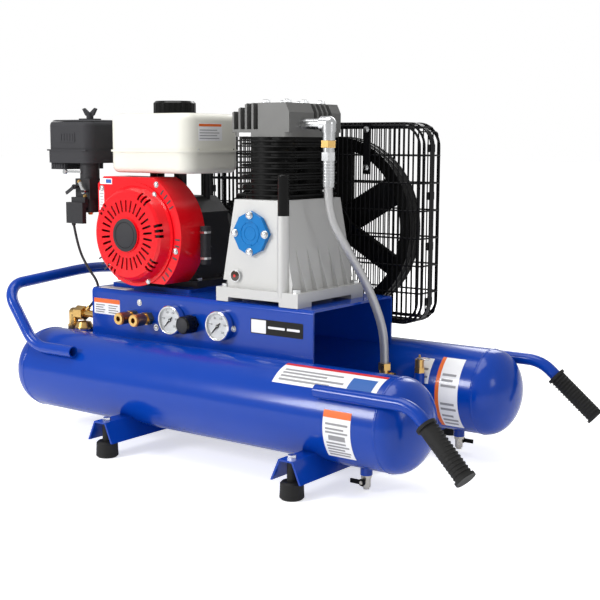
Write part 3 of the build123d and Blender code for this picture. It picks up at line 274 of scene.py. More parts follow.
        def fill(tree: Tree, start: Node, end: Node) -> None:
            """Crosses two diagonal waves and lets each lie over the other in turn."""
            split = tree.nodes.new("ShaderNodeSeparateXYZ")
            tree.links.new(start.outputs["Vector"], split.inputs[0])
            waves = []
            for lean in ("ADD", "SUBTRACT"):
                phase = cls.math(tree, lean, split.outputs["X"], split.outputs["Y"])
                wave = cls.math(tree, "SINE", cls.math(tree, "MULTIPLY", phase, math.pi))
                waves.append(cls.math(tree, "ABSOLUTE", wave))
            tree.links.new(cls.math(tree, "MAXIMUM", *waves), end.inputs["Height"])

        return cls.group("woven_braid", {"Vector": "NodeSocketVector"}, {"Height": "NodeSocketFloat"}, fill)


# ---- finishes ----
@dataclass(frozen=True)
class Finish:
    """One surface finish and how to make its material.

    Attributes:
        name: The material's name.
        slot: The record's material slot; not used.
        skin: What kind of surface it is.
        colour: Base colour, linear.
        metallic: 0 for paint and plastic, 1 for bare metal.
        roughness: Middle of the roughness.
        spread: How far the roughness wanders.
        grain_mm: Size of the surface grain.
        relief_mm: Height of the grain.
        mottle: How far the tone wanders.
        dust: How much dust lies on upward faces.
        coat: Weight of the clear coat.
        glint: Level of the plain reflection.
    """

    name: str
    slot: str
    skin: Skin
    colour: Colour
    metallic: float = 0.0
    roughness: float = 0.4
    spread: float = 0.12
    grain_mm: float = 1.5
    relief_mm: float = 0.02
    mottle: float = 0.06
    dust: float = 0.04
    coat: float = 0.0
    glint: float = 0.3

    def material(self) -> bpy.types.Material:
        """Finds or builds the material.

        Returns:
            The material, with its nodes linked.
        """
        found = bpy.data.materials.get(self.name)
        if found:
            return found
        made = bpy.data.materials.new(self.name)
        made.use_nodes = True
        tree = made.node_tree
        shader = tree.nodes["Principled BSDF"]
        where = tree.nodes.new("ShaderNodeTexCoord")
        vector = where.outputs["UV" if self.skin is Skin.BRAID else "Object"]
        shader.inputs["Metallic"].default_value = self.metallic
        shader.inputs["Coat Weight"].default_value = self.coat
        shader.inputs["Coat Roughness"].default_value = COAT_ROUGHNESS
        shader.inputs["Specular IOR Level"].default_value = self.glint
        if self.skin is Skin.GLASS:
            shader.inputs["Transmission Weight"].default_value = 1.0
            shader.inputs["IOR"].default_value = LENS_IOR
        wear = tree.nodes.new("ShaderNodeGroup")
        wear.node_tree = ShaderKit.shop_wear()
        tree.links.new(where.outputs["Object"], wear.inputs["Vector"])
        for label, value in (("Colour", (*self.colour, 1.0)), ("Mottle", self.mottle), ("Dust", self.dust),
                             ("Roughness", self.roughness), ("Spread", self.spread)):
            wear.inputs[label].default_value = value
        tree.links.new(wear.outputs["Colour"], shader.inputs["Base Color"])
        tree.links.new(wear.outputs["Roughness"], shader.inputs["Roughness"])
        self._relief(tree, shader, vector, wear)
        return made

    def _relief(self, tree: Tree, shader: Node, vector: Socket,
                wear: Node) -> None:
        """Adds the bump, and the braid's painted shade: its colour darkened in the valleys between strands.

        Args:
            tree: The material's tree.
            shader: Its shader node.
            vector: Where its pattern is read.
            wear: Its wear group node.
        """
        pattern = tree.nodes.new("ShaderNodeGroup")
        bump = tree.nodes.new("ShaderNodeBump")
        bump.inputs["Distance"].default_value = self.relief_mm * MM
        if self.skin is Skin.BRAID:
            pattern.node_tree = ShaderKit.woven_braid()
            # Painted shade: the colour is scaled down where the weave is low, darkening the valleys between
            # strands.
            valley_shade_ramp = tree.nodes.new("ShaderNodeMapRange")
            valley_shade_ramp.inputs["To Min"].default_value = PAINTED_VALLEY_SHADE
            tree.links.new(pattern.outputs["Height"], valley_shade_ramp.inputs["Value"])
            shade = tree.nodes.new("ShaderNodeVectorMath")
            shade.operation = "SCALE"
            tree.links.new(wear.outputs["Colour"], shade.inputs[0])
            tree.links.new(valley_shade_ramp.outputs["Result"], shade.inputs["Scale"])
            tree.links.new(shade.outputs[0], shader.inputs["Base Color"])
        elif self.skin is Skin.PLATED:
            pattern.node_tree = ShaderKit.brushed_lines()
        else:
            pattern.node_tree = ShaderKit.surface_grain()
            pattern.inputs["Size"].default_value = self.grain_mm * MM
        tree.links.new(vector, pattern.inputs["Vector"])
        tree.links.new(pattern.outputs["Height"], bump.inputs["Height"])
        tree.links.new(bump.outputs["Normal"], shader.inputs["Normal"])


# First line: name, slot, skin and colour. Second line: metallic, roughness, spread, grain in mm,
# relief in mm, mottle, dust, coat and glint.
BLUE = Finish("blue_powder_coat", "blue_paint", Skin.ENAMEL, (0.001, 0.044, 0.35),
              0.0, 0.2, 0.06, 3.0, 0.02, 0.05, 0.005, 0.12, 0.3)
RED = Finish("red_enamel", "red_paint", Skin.ENAMEL, (0.78, 0.003, 0.01),
             0.0, 0.22, 0.06, 2.5, 0.02, 0.05, 0.01, 0.25)
CREAM = Finish("cream_enamel", "white_paint", Skin.ENAMEL, (0.78, 0.77, 0.69),
               0.0, 0.3, 0.06, 3.0, 0.02, 0.03, 0.03, 0.15)
SKY = Finish("sky_blue_paint", "sky_paint", Skin.ENAMEL, (0.0, 0.16, 0.46),
             0.0, 0.4, 0.1, 1.0, 0.05, 0.06, 0.005, 0.0, 0.25)
BLACK_COAT = Finish("black_coated_steel", "black_metal", Skin.ENAMEL, (0.005, 0.005, 0.006),
                    0.0, 0.38, 0.1, 1.2, 0.03, 0.1, 0.005, 0.0, 0.12)
BLACK_IRON = Finish("black_painted_iron", "black_iron", Skin.CASTING, (0.005, 0.005, 0.005),
                    0.0, 0.36, 0.12, 1.1, 0.1, 0.15, 0.008, 0.0, 0.14)
CAST = Finish("blasted_aluminium", "cast_aluminium", Skin.CASTING, (0.56, 0.56, 0.55),
              0.4, 0.46, 0.14, 0.8, 0.11, 0.07, 0.05)
# Painted shade: the crankcase's cast aluminium darkened to stand for the shade in the head's fin recesses.
HEAD_CAST_PAINTED_SHADE = Finish("cast_head_painted_shade", "cast_aluminium", Skin.CASTING, (0.15, 0.15, 0.146),
                   0.4, 0.46, 0.16, 1.0, 0.16, 0.1, 0.08)
DARK_CAST = Finish("dark_engine_casting", "dark_aluminium", Skin.CASTING, (0.03, 0.03, 0.033),
                   0.2, 0.46, 0.12, 0.9, 0.12, 0.12, 0.06)
STEEL = Finish("machined_steel", "steel", Skin.PLATED, (0.45, 0.45, 0.46),
               1.0, 0.3, 0.1, 1.0, 0.01, 0.06, 0.02)
ZINC = Finish("bright_zinc", "zinc", Skin.PLATED, (0.68, 0.69, 0.7),
              1.0, 0.26, 0.12, 1.0, 0.008, 0.05, 0.02)
NICKEL = Finish("nickel_plate", "nickel", Skin.PLATED, (0.6, 0.57, 0.5),
                1.0, 0.28, 0.1, 1.0, 0.008, 0.06, 0.03)
CHROME = Finish("bright_chrome", "chrome", Skin.PLATED, (0.78, 0.78, 0.79),
                1.0, 0.12, 0.05, 1.0, 0.003, 0.02, 0.0)
BRASS = Finish("turned_brass", "brass", Skin.PLATED, (0.7, 0.45, 0.16),
               1.0, 0.28, 0.12, 1.0, 0.008, 0.08, 0.03)
COPPERY = Finish("tinted_bronze", "brass", Skin.PLATED, (0.5, 0.24, 0.11),
                 1.0, 0.32, 0.12, 1.0, 0.008, 0.1, 0.03)
RUBBER = Finish("moulded_rubber", "rubber", Skin.RUBBER, (0.009, 0.009, 0.009),
                0.0, 0.6, 0.12, 0.9, 0.08, 0.12, 0.02)
BELT = Finish("belt_cloth", "belt_rubber", Skin.RUBBER, (0.011, 0.011, 0.011),
              0.0, 0.78, 0.1, 0.6, 0.08, 0.14, 0.02)
PLASTIC = Finish("black_plastic", "black_plastic", Skin.MOULDED, (0.005, 0.005, 0.005),
                 0.0, 0.4, 0.1, 0.8, 0.04, 0.1, 0.005, 0.0, 0.12)
GLOSS_BLACK = Finish("gloss_black_plastic", "black_plastic", Skin.MOULDED, (0.005, 0.005, 0.005),
                     0.0, 0.16, 0.05, 1.0, 0.01, 0.05, 0.005, 0.0, 0.2)
BRAID = Finish("braided_cover", "braided_steel", Skin.BRAID, (0.6, 0.6, 0.6),
               0.7, 0.34, 0.1, 1.0, 0.22, 0.05, 0.02)
PAPER = Finish("white_label", "white_paint", Skin.PAPER, (0.86, 0.86, 0.87),
               0.0, 0.42, 0.06, 1.0, 0.004, 0.02, 0.01, 0.25)
ORANGE = Finish("orange_label", "red_paint", Skin.PAPER, (0.82, 0.15, 0.02),
                0.0, 0.42, 0.06, 1.0, 0.004, 0.03, 0.01, 0.25)
SCARLET = Finish("red_label", "red_paint", Skin.PAPER, (0.66, 0.02, 0.02),
                 0.0, 0.42, 0.06, 1.0, 0.004, 0.03, 0.01, 0.25)
# Dark print on the dials, and painted shade in the slots of the fan shroud, the starter cover and the
# silencer's shield.
INK_AND_PAINTED_SHADE = Finish("ink_and_painted_shade", "black_plastic", Skin.PAPER, (0.05, 0.05, 0.055),
             0.0, 0.45, 0.06, 1.0, 0.004, 0.03, 0.0)
GREY_INK = Finish("grey_ink", "black_plastic", Skin.PAPER, (0.3, 0.3, 0.31),
                  0.0, 0.45, 0.06, 1.0, 0.004, 0.03, 0.0)
STEEL_BLUE_INK = Finish("blue_ink", "sky_paint", Skin.PAPER, (0.03, 0.12, 0.4),
                        0.0, 0.45, 0.06, 1.0, 0.004, 0.03, 0.0)
LENS = Finish("clear_lens", "chrome", Skin.GLASS, (0.97, 0.98, 0.98),
              0.0, 0.03, 0.01, 2.0, 0.0, 0.0, 0.0)
OIL = Finish("oil_window", "brass", Skin.MOULDED, (0.035, 0.02, 0.012),
             0.0, 0.1, 0.03, 3.0, 0.0, 0.05, 0.0, 0.8)


# ---- mesh making ----
def around(middle: Pair, radius: float, angle: float) -> Pair:
    """A point on a circle.

    Args:
        middle: The circle's centre.
        radius: Its radius.
        angle: Where on it, in radians.

    Returns:
        The point's two coordinates.
    """
    return middle[0] + radius * math.cos(angle), middle[1] + radius * math.sin(angle)


def rounded(across: Pair, along: Pair, radius: float, steps: int) -> list[Pair]:
    """A rectangle's outline with round corners.

    Args:
        across: Its first two sides.
        along: Its other two sides.
        radius: The corners' radius.
        steps: How many points a corner has.

    Returns:
        Its points, in order.
    """
    (x0, x1), (z0, z1) = across, along
    corners = ((x1 - radius, z0 + radius, 270), (x1 - radius, z1 - radius, 0), (x0 + radius, z1 - radius, 90),
               (x0 + radius, z0 + radius, 180))
    return [around((cx, cz), radius, math.radians(start + 90 * k / (steps - 1)))
            for cx, cz, start in corners for k in range(steps)]


def placed(spot: Vector) -> Point:
    """A point of the drawing in metres in the frame.

    Args:
        spot: The point, in millimetres in the drawing's axes.

    Returns:
        Its place in the frame.
    """
    return spot.x * MM + Blank.shift, spot.y * MM, spot.z * MM


def tank_middle() -> float:
    """The drawing's x origin in the frame, in metres: the middle of the front tank."""
    low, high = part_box("front_tank")
    return (low.x + high.x) / 2


class Blank:
    """A mesh being shaped in millimetres in the drawing's axes, with one finish number for each face."""

    shift: float = 0.0

    def __init__(self) -> None:
        """Starts with nothing."""
        self.points: list[Vector] = []
        self.faces: list[tuple[int, ...]] = []
        self.marks: list[int] = []
        self.mark = 0

    def add(self, points: Sequence[Vector], faces: Sequence[Sequence[int]]) -> None:
        """Adds a closed shape with the current finish number.

        Args:
            points: Its corners.
            faces: Its faces, as numbers of its own corners.
        """
        start = len(self.points)
        self.points.extend(points)
        self.faces.extend(tuple(start + i for i in face) for face in faces)
        self.marks.extend([self.mark] * len(faces))

    def loft(self, rings: Sequence[Sequence[Vector]], closed: bool = False) -> None:
        """Joins rings of equal count with quads and caps the ends.

        Args:
            rings: The rings, in order.
            closed: Whether the last ring joins the first, with no caps.
        """
        count = len(rings[0])
        faces: list[Sequence[int]] = []
        spans = len(rings) if closed else len(rings) - 1
        for k in range(spans):
            a, b = k * count, ((k + 1) % len(rings)) * count
            faces += [(a + i, a + (i + 1) % count, b + (i + 1) % count, b + i) for i in range(count)]
        if not closed:
            faces.append(tuple(reversed(range(count))))
            faces.append(tuple(range((len(rings) - 1) * count, len(rings) * count)))
        self.add([p for ring in rings for p in ring], faces)

    def turned(self, foot: Point, way: Point, profile: Sequence[Pair], sides: int = 32) -> None:
        """A turned shape on any axis.

        Args:
            foot: Where the axis starts.
            way: The axis direction.
            profile: Pairs of radius and distance along the axis, from one end to the other.
            sides: How many sides the rings have.
        """
        axis = Vector(way).normalized()
        side = axis.orthogonal() if abs(axis.z) > 0.9 else axis.cross(Vector((0, 0, 1)))
        side = Vector((1, 0, 0)) if abs(axis.z) > 0.99 else side.normalized()
        other = axis.cross(side)
        rings = []
        for radius, along in profile:
            middle = Vector(foot) + axis * along
            rings.append([
                middle + (side * math.cos(a) + other * math.sin(a)) * max(radius, 0.02)
                for a in (math.tau * i / sides for i in range(sides))])
        self.loft(rings)

    def torus(self, middle: Point, way: Point, radius: float, wire: float, sides: int = 48,
              round_sides: int = 8) -> None:
        """A ring of round wire.

        Args:
            middle: Its centre.
            way: The direction through its hole.
            radius: To the wire's middle.
            wire: The wire's radius.
            sides: How many steps round the ring.
            round_sides: How many sides the wire has.
        """
        axis = Vector(way).normalized()
        side = axis.orthogonal().normalized()
        other = axis.cross(side)
        rings = []
        for k in range(sides):
            a = math.tau * k / sides
            out = side * math.cos(a) + other * math.sin(a)
            rings.append([
                Vector(middle) + out * (radius + wire * math.cos(b)) + axis * wire * math.sin(b)
                for b in (math.tau * i / round_sides for i in range(round_sides))])
        self.loft(rings, closed=True)

    def block(self, low: Point, high: Point, ease: float = 0.0) -> None:
        """A box with its upright edges eased.

        Args:
            low: Lowest corner.
            high: Highest corner.
            ease: How much is cut off each upright edge.
        """
        (x0, y0, z0), (x1, y1, z1) = low, high
        e = max(ease, 0.001)
        outline = [(x0 + e, y0), (x1 - e, y0), (x1, y0 + e), (x1, y1 - e),
                   (x1 - e, y1), (x0 + e, y1), (x0, y1 - e), (x0, y0 + e)]
        self.loft([[Vector((x, y, z)) for x, y in outline] for z in (z0, z1)])

    def panel(self, x0: float, x1: float, z0: float, z1: float, front: float, back: float,
              corner: float) -> None:
        """A thin upright plate with rounded corners, its face towards lower y.

        Args:
            x0: Left.
            x1: Right.
            z0: Bottom.
            z1: Top.
            front: y of its face.
            back: y of its back.
            corner: Corner radius.
        """
        outline = rounded((x0, x1), (z0, z1), corner, 5)
        self.loft([[Vector((x, y, z)) for x, z in outline] for y in (front, back)])

    def sweep(self, path: Sequence[Vector], radius: float, sides: int = 10,
              ripple: Callable[[float, float], float] | None = None) -> list[list[Pair]]:
        """A round tube along a smooth path.

        Args:
            path: Points along it.
            radius: Its radius.
            sides: How many sides it has.
            ripple: Extra radius from the turn round it, 0 to 1, and the distance along it.

        Returns:
            For each ring, its turns and distances, for the tube's map.
        """
        rings, marks, along = [], [], 0.0
        tangent = (path[1] - path[0]).normalized()
        side = tangent.orthogonal().normalized()
        for k, here in enumerate(path):
            ahead = path[min(k + 1, len(path) - 1)] - path[max(k - 1, 0)]
            tangent = ahead.normalized()
            side = (side - tangent * side.dot(tangent)).normalized()
            other = tangent.cross(side)
            along += (here - path[k - 1]).length if k else 0.0
            ring, mark = [], []
            for i in range(sides):
                turn = i / sides
                r = radius + (ripple(turn, along) if ripple else 0.0)
                a = math.tau * turn
                ring.append(here + (side * math.cos(a) + other * math.sin(a)) * r)
                mark.append((turn, along))
            rings.append(ring)
            marks.append(mark)
        self.loft(rings)
        return marks

    def mesh(self, name: str, smooth_deg: float = 35.0) -> Mesh:
        """Makes the Blender mesh, in metres in the frame, its faces outwards.

        Args:
            name: The mesh's name.
            smooth_deg: Edges sharper than this stay sharp.

        Returns:
            The mesh.
        """
        made = bpy.data.meshes.new(name)
        made.from_pydata([placed(p) for p in self.points], [], self.faces)
        for face, mark in zip(made.polygons, self.marks):
            face.material_index = mark
        work = bmesh.new()
        work.from_mesh(made)
        bmesh.ops.recalc_face_normals(work, faces=work.faces)
        work.to_mesh(made)
        work.free()
        made.shade_smooth()
        made.set_sharp_from_angle(angle=math.radians(smooth_deg))
        return made

    def piece(self, name: str, finishes: Sequence[Finish], body: Body = Body.FRAME,
              smooth_deg: float = 35.0) -> Piece:
        """Makes the mesh a finished piece on a body.

        Args:
            name: The piece's name.
            finishes: Its finishes, by the faces' finish numbers.
            body: The body that it rides on.
            smooth_deg: Edges sharper than this stay sharp.

        Returns:
            The piece.
        """
        return dress(self.mesh(name, smooth_deg), name, finishes, body)


def dress(mesh: Mesh, name: str, finishes: Sequence[Finish], body: Body = Body.FRAME) -> Piece:
    """Makes a mesh a finished piece on a body.

    Args:
        mesh: The mesh, in metres in the frame.
        name: The piece's name.
        finishes: Its finishes, by the faces' finish numbers.
        body: The body that it rides on.

    Returns:
        The piece.
    """
    piece = bpy.data.objects.new(name, mesh)
    bpy.context.scene.collection.objects.link(piece)
    if not mesh.materials:
        for finish in finishes:
            mesh.materials.append(finish.material())
    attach(piece, body.value)
    LOG.info("piece %s on %s, %d faces", name, body.value, len(mesh.polygons))
    return piece


# ---- geometry nodes ----
class GeometryBench:
    """Builds geometry node trees, runs them on a mesh and keeps the plain result."""

    def __init__(self, name: str, inputs: dict[str, str]) -> None:
        """Starts a tree with a Geometry and a Finish input and any others.

        Args:
            name: The tree's name.
            inputs: Socket types by name, besides Geometry and Finish.
        """
        self.tree = bpy.data.node_groups.new(name, "GeometryNodeTree")
        self.ids: dict[str, str] = {}
        kinds = {"Geometry": "NodeSocketGeometry", **inputs, "Finish": "NodeSocketMaterial"}
        for label, kind in kinds.items():
            made = self.tree.interface.new_socket(name=label, in_out="INPUT", socket_type=kind)
            self.ids[label] = made.identifier
        self.tree.interface.new_socket(name="Geometry", in_out="OUTPUT", socket_type="NodeSocketGeometry")
        self.start = self.tree.nodes.new("NodeGroupInput")
        self.end = self.tree.nodes.new("NodeGroupOutput")

    def node(self, kind: str, links: dict[str, Socket | float | int | Point],
             **settings: str) -> Node:
        """Adds a node.

        Args:
            kind: The node's type.
            links: What goes into its inputs by name, a socket or a plain value.
            **settings: Properties of the node.

        Returns:
            The node.
        """
        made = self.tree.nodes.new(kind)
        for label, value in settings.items():
            setattr(made, label, value)
        for label, value in links.items():
            if isinstance(value, Socket):
                self.tree.links.new(value, made.inputs[label])
            else:
                made.inputs[label].default_value = value
        return made

    def times(self, socket: Socket, factor: float) -> Socket:
        """Adds a node that multiplies a socket by a number.

        Args:
            socket: What is multiplied.
            factor: The number.

        Returns:
            The product's socket.
        """
        node = self.node("ShaderNodeMath", {}, operation="MULTIPLY")
        self.tree.links.new(socket, node.inputs[0])
        node.inputs[1].default_value = factor
        return node.outputs[0]

    def scatter(self, shape: Socket, **aim: str) -> None:
        """Sets a shape at each guide point, turned to the point's way, and ends the tree.

        Args:
            shape: The shape's geometry.
            **aim: Settings of the node that turns it.
        """
        dots = self.node("GeometryNodeMeshToPoints", {"Mesh": self.start.outputs["Geometry"]})
        way = self.node("GeometryNodeInputNamedAttribute", {"Name": "way"}, data_type="FLOAT_VECTOR")
        turn = self.node("FunctionNodeAlignRotationToVector", {"Vector": way.outputs["Attribute"]},
                         axis="Z", **aim)
        spread = self.node("GeometryNodeInstanceOnPoints",
                           {"Points": dots.outputs[0], "Instance": shape, "Rotation": turn.outputs[0]})
        self.close(spread.outputs[0])

    def close(self, geometry: Socket) -> None:
        """Ends the tree in Realize Instances and Set Material.

        Args:
            geometry: What the tree has made.
        """
        real = self.node("GeometryNodeRealizeInstances", {"Geometry": geometry})
        painted = self.node("GeometryNodeSetMaterial",
                            {"Geometry": real.outputs[0], "Material": self.start.outputs["Finish"]})
        self.tree.links.new(painted.outputs[0], self.end.inputs[0])

    def run(self, guide: Mesh, name: str, finish: Finish, values: dict[str, float],
            body: Body = Body.FRAME, smooth_deg: float = 40.0) -> Piece:
        """Runs the tree on a guide mesh and makes the result a piece.

        Args:
            guide: Points or edges in metres in the frame.
            name: The piece's name.
            finish: Its finish.
            values: Values for the tree's own inputs.
            body: The body that it rides on.
            smooth_deg: Edges sharper than this stay sharp.

        Returns:
            The piece.
        """
        carrier = bpy.data.objects.new(name + "_guide", guide)
        bpy.context.scene.collection.objects.link(carrier)
        modifier = carrier.modifiers.new("make", "NODES")
        modifier.node_group = self.tree
        for label, value in {**values, "Finish": finish.material()}.items():
            modifier[self.ids[label]] = value
        bpy.context.view_layer.update()
        graph = bpy.context.evaluated_depsgraph_get()
        made = bpy.data.meshes.new_from_object(carrier.evaluated_get(graph))
        carrier.modifiers.clear()
        bpy.data.objects.remove(carrier)
        made.name = name
        made.shade_smooth()
        made.set_sharp_from_angle(angle=math.radians(smooth_deg))
        return dress(made, name, [finish], body)


def aimed_guide(name: str, places: Sequence[Placing]) -> Mesh:
    """Makes a guide mesh of points that each keep a direction in the attribute "way".

    Args:
        name: Its name.
        places: Pairs of a point, in millimetres in the drawing's axes, and its direction.

    Returns:
        The mesh, in metres in the frame.
    """
    made = bpy.data.meshes.new(name)
    made.from_pydata([placed(Vector(spot)) for spot, _ in places], [], [])
    attribute = made.attributes.new("way", "FLOAT_VECTOR", "POINT")
    attribute.data.foreach_set("vector", [c for _, way in places for c in Vector(way).normalized()])
    return made


class WireTree(GeometryBench):
    """Turns a guide's edges into round wire."""

    def __init__(self) -> None:
        """Builds the tree: mesh to curve, then a round profile swept along it."""
        super().__init__("round_wire", {"Radius": "NodeSocketFloat", "Sides": "NodeSocketInt"})
        out = self.start.outputs
        curve = self.node("GeometryNodeMeshToCurve", {"Mesh": out["Geometry"]})
        ring = self.node("GeometryNodeCurvePrimitiveCircle",
                         {"Resolution": out["Sides"], "Radius": out["Radius"]})
        wire = self.node("GeometryNodeCurveToMesh",
                         {"Curve": curve.outputs[0], "Profile Curve": ring.outputs[0], "Fill Caps": True})
        self.close(wire.outputs[0])

    def lay(self, paths: Sequence[Sequence[Vector]], name: str, finish: Finish, radius: float, sides: int = 6,
            body: Body = Body.FRAME) -> Piece:
        """Lays wires along paths.

        Args:
            paths: The wires' paths, millimetres in the drawing's axes.
            name: The piece's name.
            finish: Its finish.
            radius: The wire's radius in millimetres.
            sides: How many sides it has.
            body: The body that it rides on.

        Returns:
            The piece.
        """
        points: list[Vector] = []
        edges: list[tuple[int, int]] = []
        for path in paths:
            start = len(points)
            points.extend(path)
            edges.extend((start + i, start + i + 1) for i in range(len(path) - 1))
        guide = bpy.data.meshes.new(name)
        guide.from_pydata([placed(p) for p in points], edges, [])
        return self.run(guide, name, finish, {"Radius": radius * MM, "Sides": sides}, body)


class FastenerTree(GeometryBench):
    """Sets a headed fastener at each guide point, along its way.

    The crown's sizes are shares of the head's radius and height, and the washer's of its height.
    """

    crown_sides, crown_top, crown_foot, crown_rise = 18, 0.62, 0.9, 0.22
    washer_sides, washer_share = 24, 0.25

    def __init__(self) -> None:
        """Builds the tree: a head, a domed top and a washer, turned and placed on each point."""
        super().__init__("fastener", {"Radius": "NodeSocketFloat", "Height": "NodeSocketFloat",
                                      "Corners": "NodeSocketInt", "Washer": "NodeSocketFloat"})
        out = self.start.outputs
        radius, height = out["Radius"], out["Height"]
        head = self.node("GeometryNodeMeshCylinder",
                         {"Vertices": out["Corners"], "Radius": radius, "Depth": height})
        crown = self.node("GeometryNodeMeshCone",
                          {"Vertices": self.crown_sides, "Radius Top": self.times(radius, self.crown_top),
                           "Radius Bottom": self.times(radius, self.crown_foot),
                           "Depth": self.times(height, self.crown_rise)})
        washer = self.node("GeometryNodeMeshCylinder",
                           {"Vertices": self.washer_sides, "Radius": out["Washer"],
                            "Depth": self.times(height, self.washer_share)})
        whole = self.node("GeometryNodeJoinGeometry", {})
        lifts = (self.times(height, 0.5), height, self.times(height, self.washer_share / 2))
        for made, lift in zip((head, crown, washer), lifts):
            up = self.node("ShaderNodeCombineXYZ", {"Z": lift})
            raised = self.node("GeometryNodeTransform",
                               {"Geometry": made.outputs["Mesh"], "Translation": up.outputs[0]})
            self.tree.links.new(raised.outputs[0], whole.inputs[0])
        self.scatter(whole.outputs[0])

    def fit(self, places: Sequence[Placing], name: str, finish: Finish, radius: float, height: float,
            corners: int = 20, washer: float = 0.0, body: Body = Body.FRAME) -> Piece:
        """Fits fasteners of one size.

        Args:
            places: Pairs of seat point and outward direction.
            name: The piece's name.
            finish: Its finish.
            radius: Head radius.
            height: Head height.
            corners: Corners of the head, 6 for a hexagon.
            washer: Washer radius, 0 for one just under the head.
            body: The body that it rides on.

        Returns:
            The piece.
        """
        values = {"Radius": radius * MM, "Height": height * MM, "Corners": corners,
                  "Washer": max(washer, radius * 0.98) * MM}
        return self.run(aimed_guide(name, places), name, finish, values, body)


class BarTree(GeometryBench):
    """Sets a slim bar at each guide point: the marks of a dial, the dark bars of painted shade that stand for
    slots.
    """

    def __init__(self) -> None:
        """Builds the tree: a bar whose length lies along the point's way."""
        super().__init__("slim_bar", {"Width": "NodeSocketFloat", "Thickness": "NodeSocketFloat",
                                      "Length": "NodeSocketFloat"})
        out = self.start.outputs
        size = self.node("ShaderNodeCombineXYZ",
                         {"X": out["Width"], "Y": out["Thickness"], "Z": out["Length"]})
        bar = self.node("GeometryNodeMeshCube", {"Size": size.outputs[0]})
        self.scatter(bar.outputs[0], pivot_axis="Y")

    def lay(self, places: Sequence[Placing], name: str, finish: Finish, width: float, thickness: float,
            length: float, body: Body = Body.FRAME) -> Piece:
        """Lays bars in planes across the y axis.

        Args:
            places: Pairs of a bar's middle and its length direction.
            name: The piece's name.
            finish: Its finish.
            width: Across the bar.
            thickness: Along y.
            length: Along the bar.
            body: The body that it rides on.

        Returns:
            The piece.
        """
        values = {"Width": width * MM, "Thickness": thickness * MM, "Length": length * MM}
        return self.run(aimed_guide(name, places), name, finish, values, body)


@dataclass
class Workshop:
    """The shared geometry node trees, built once."""

    wire: WireTree = field(default_factory=WireTree)
    fastener: FastenerTree = field(default_factory=FastenerTree)
    bar: BarTree = field(default_factory=BarTree)


# ---- sub-assemblies ----
def print_lines(left: float, high: float, rows: Sequence[Pair], finish: int = 1) -> list[Bar]:
    """Plain bars that stand for lines of print on a label.

    Args:
        left: Where they start, as a share of the label's width.
        high: How high each is, as a share of the label's height.
        rows: Each bar's bottom and length, as shares.
        finish: Their finish number.

    Returns:
        The bars.
    """
    return [(left, left + length, low, low + high, finish) for low, length in rows]


@dataclass
class Assembly:
    """A sub-assembly, which makes its pieces with the shared trees."""

    shop: Workshop


@dataclass
class FrameFinishes:
    """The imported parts' own finishes."""

    groups: tuple[tuple[Finish, str], ...] = (
        (BLUE, "front_tank rear_tank foot_rails deck engine_slide_plate carry_bar push_handles"),
        (BRASS, "tank_crossover outlet_pipework coupler_bodies safety_valve_body check_valve"),
        (RUBBER, "rubber_feet handle_grips"),
        (ZINC, "mounting_bolts outlet_manifold safety_valve_ring discharge_fittings pump_sight_glass "
               "throttle_lever"),
        (NICKEL, "drain_valve_bodies"),
        (BLACK_COAT, "front_drain_lever rear_drain_lever tank_gauge_needle outlet_gauge_needle guard_front "
                     "guard_rear muffler"),
        (COPPERY, "left_coupler_sleeve right_coupler_sleeve"),
        (CHROME, "gauge_cases"),
        (GLOSS_BLACK, "regulator_knob pump_breather fuel_cap"),
        (BRAID, "discharge_hose"),
        (CAST, "pump_crankcase pump_pistons front_connecting_rod rear_connecting_rod"),
        (SKY, "pump_bearing_cover"),
        (BLACK_IRON, "pump_cylinder_block pump_flywheel"),
        (STEEL, "pump_crankshaft engine_crankshaft"),
        (HEAD_CAST_PAINTED_SHADE, "pump_head"),
        (PLASTIC, "intake_filter engine_fan starter_grip air_cleaner_base air_cleaner_cover "
                  "air_cleaner_wing_nut choke_lever throttle_cable"),
        (BELT, "drive_belts"),
        (DARK_CAST, "engine_crankcase engine_cylinder carburetor"),
        (RED, "fan_shroud recoil_cover"),
        (CREAM, "fuel_tank"),
    )

    def paint(self, nodes: dict[str, Piece]) -> None:
        """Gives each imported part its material.

        Args:
            nodes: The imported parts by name.
        """
        finishes = {name: finish for finish, names in self.groups for name in names.split()}
        for name, node in nodes.items():
            made = finishes[name].material()
            if not node.data.materials:
                node.data.materials.append(made)
            for index in range(len(node.data.materials)):
                node.data.materials[index] = made
            LOG.info("packed part %s in %s", name, made.name)


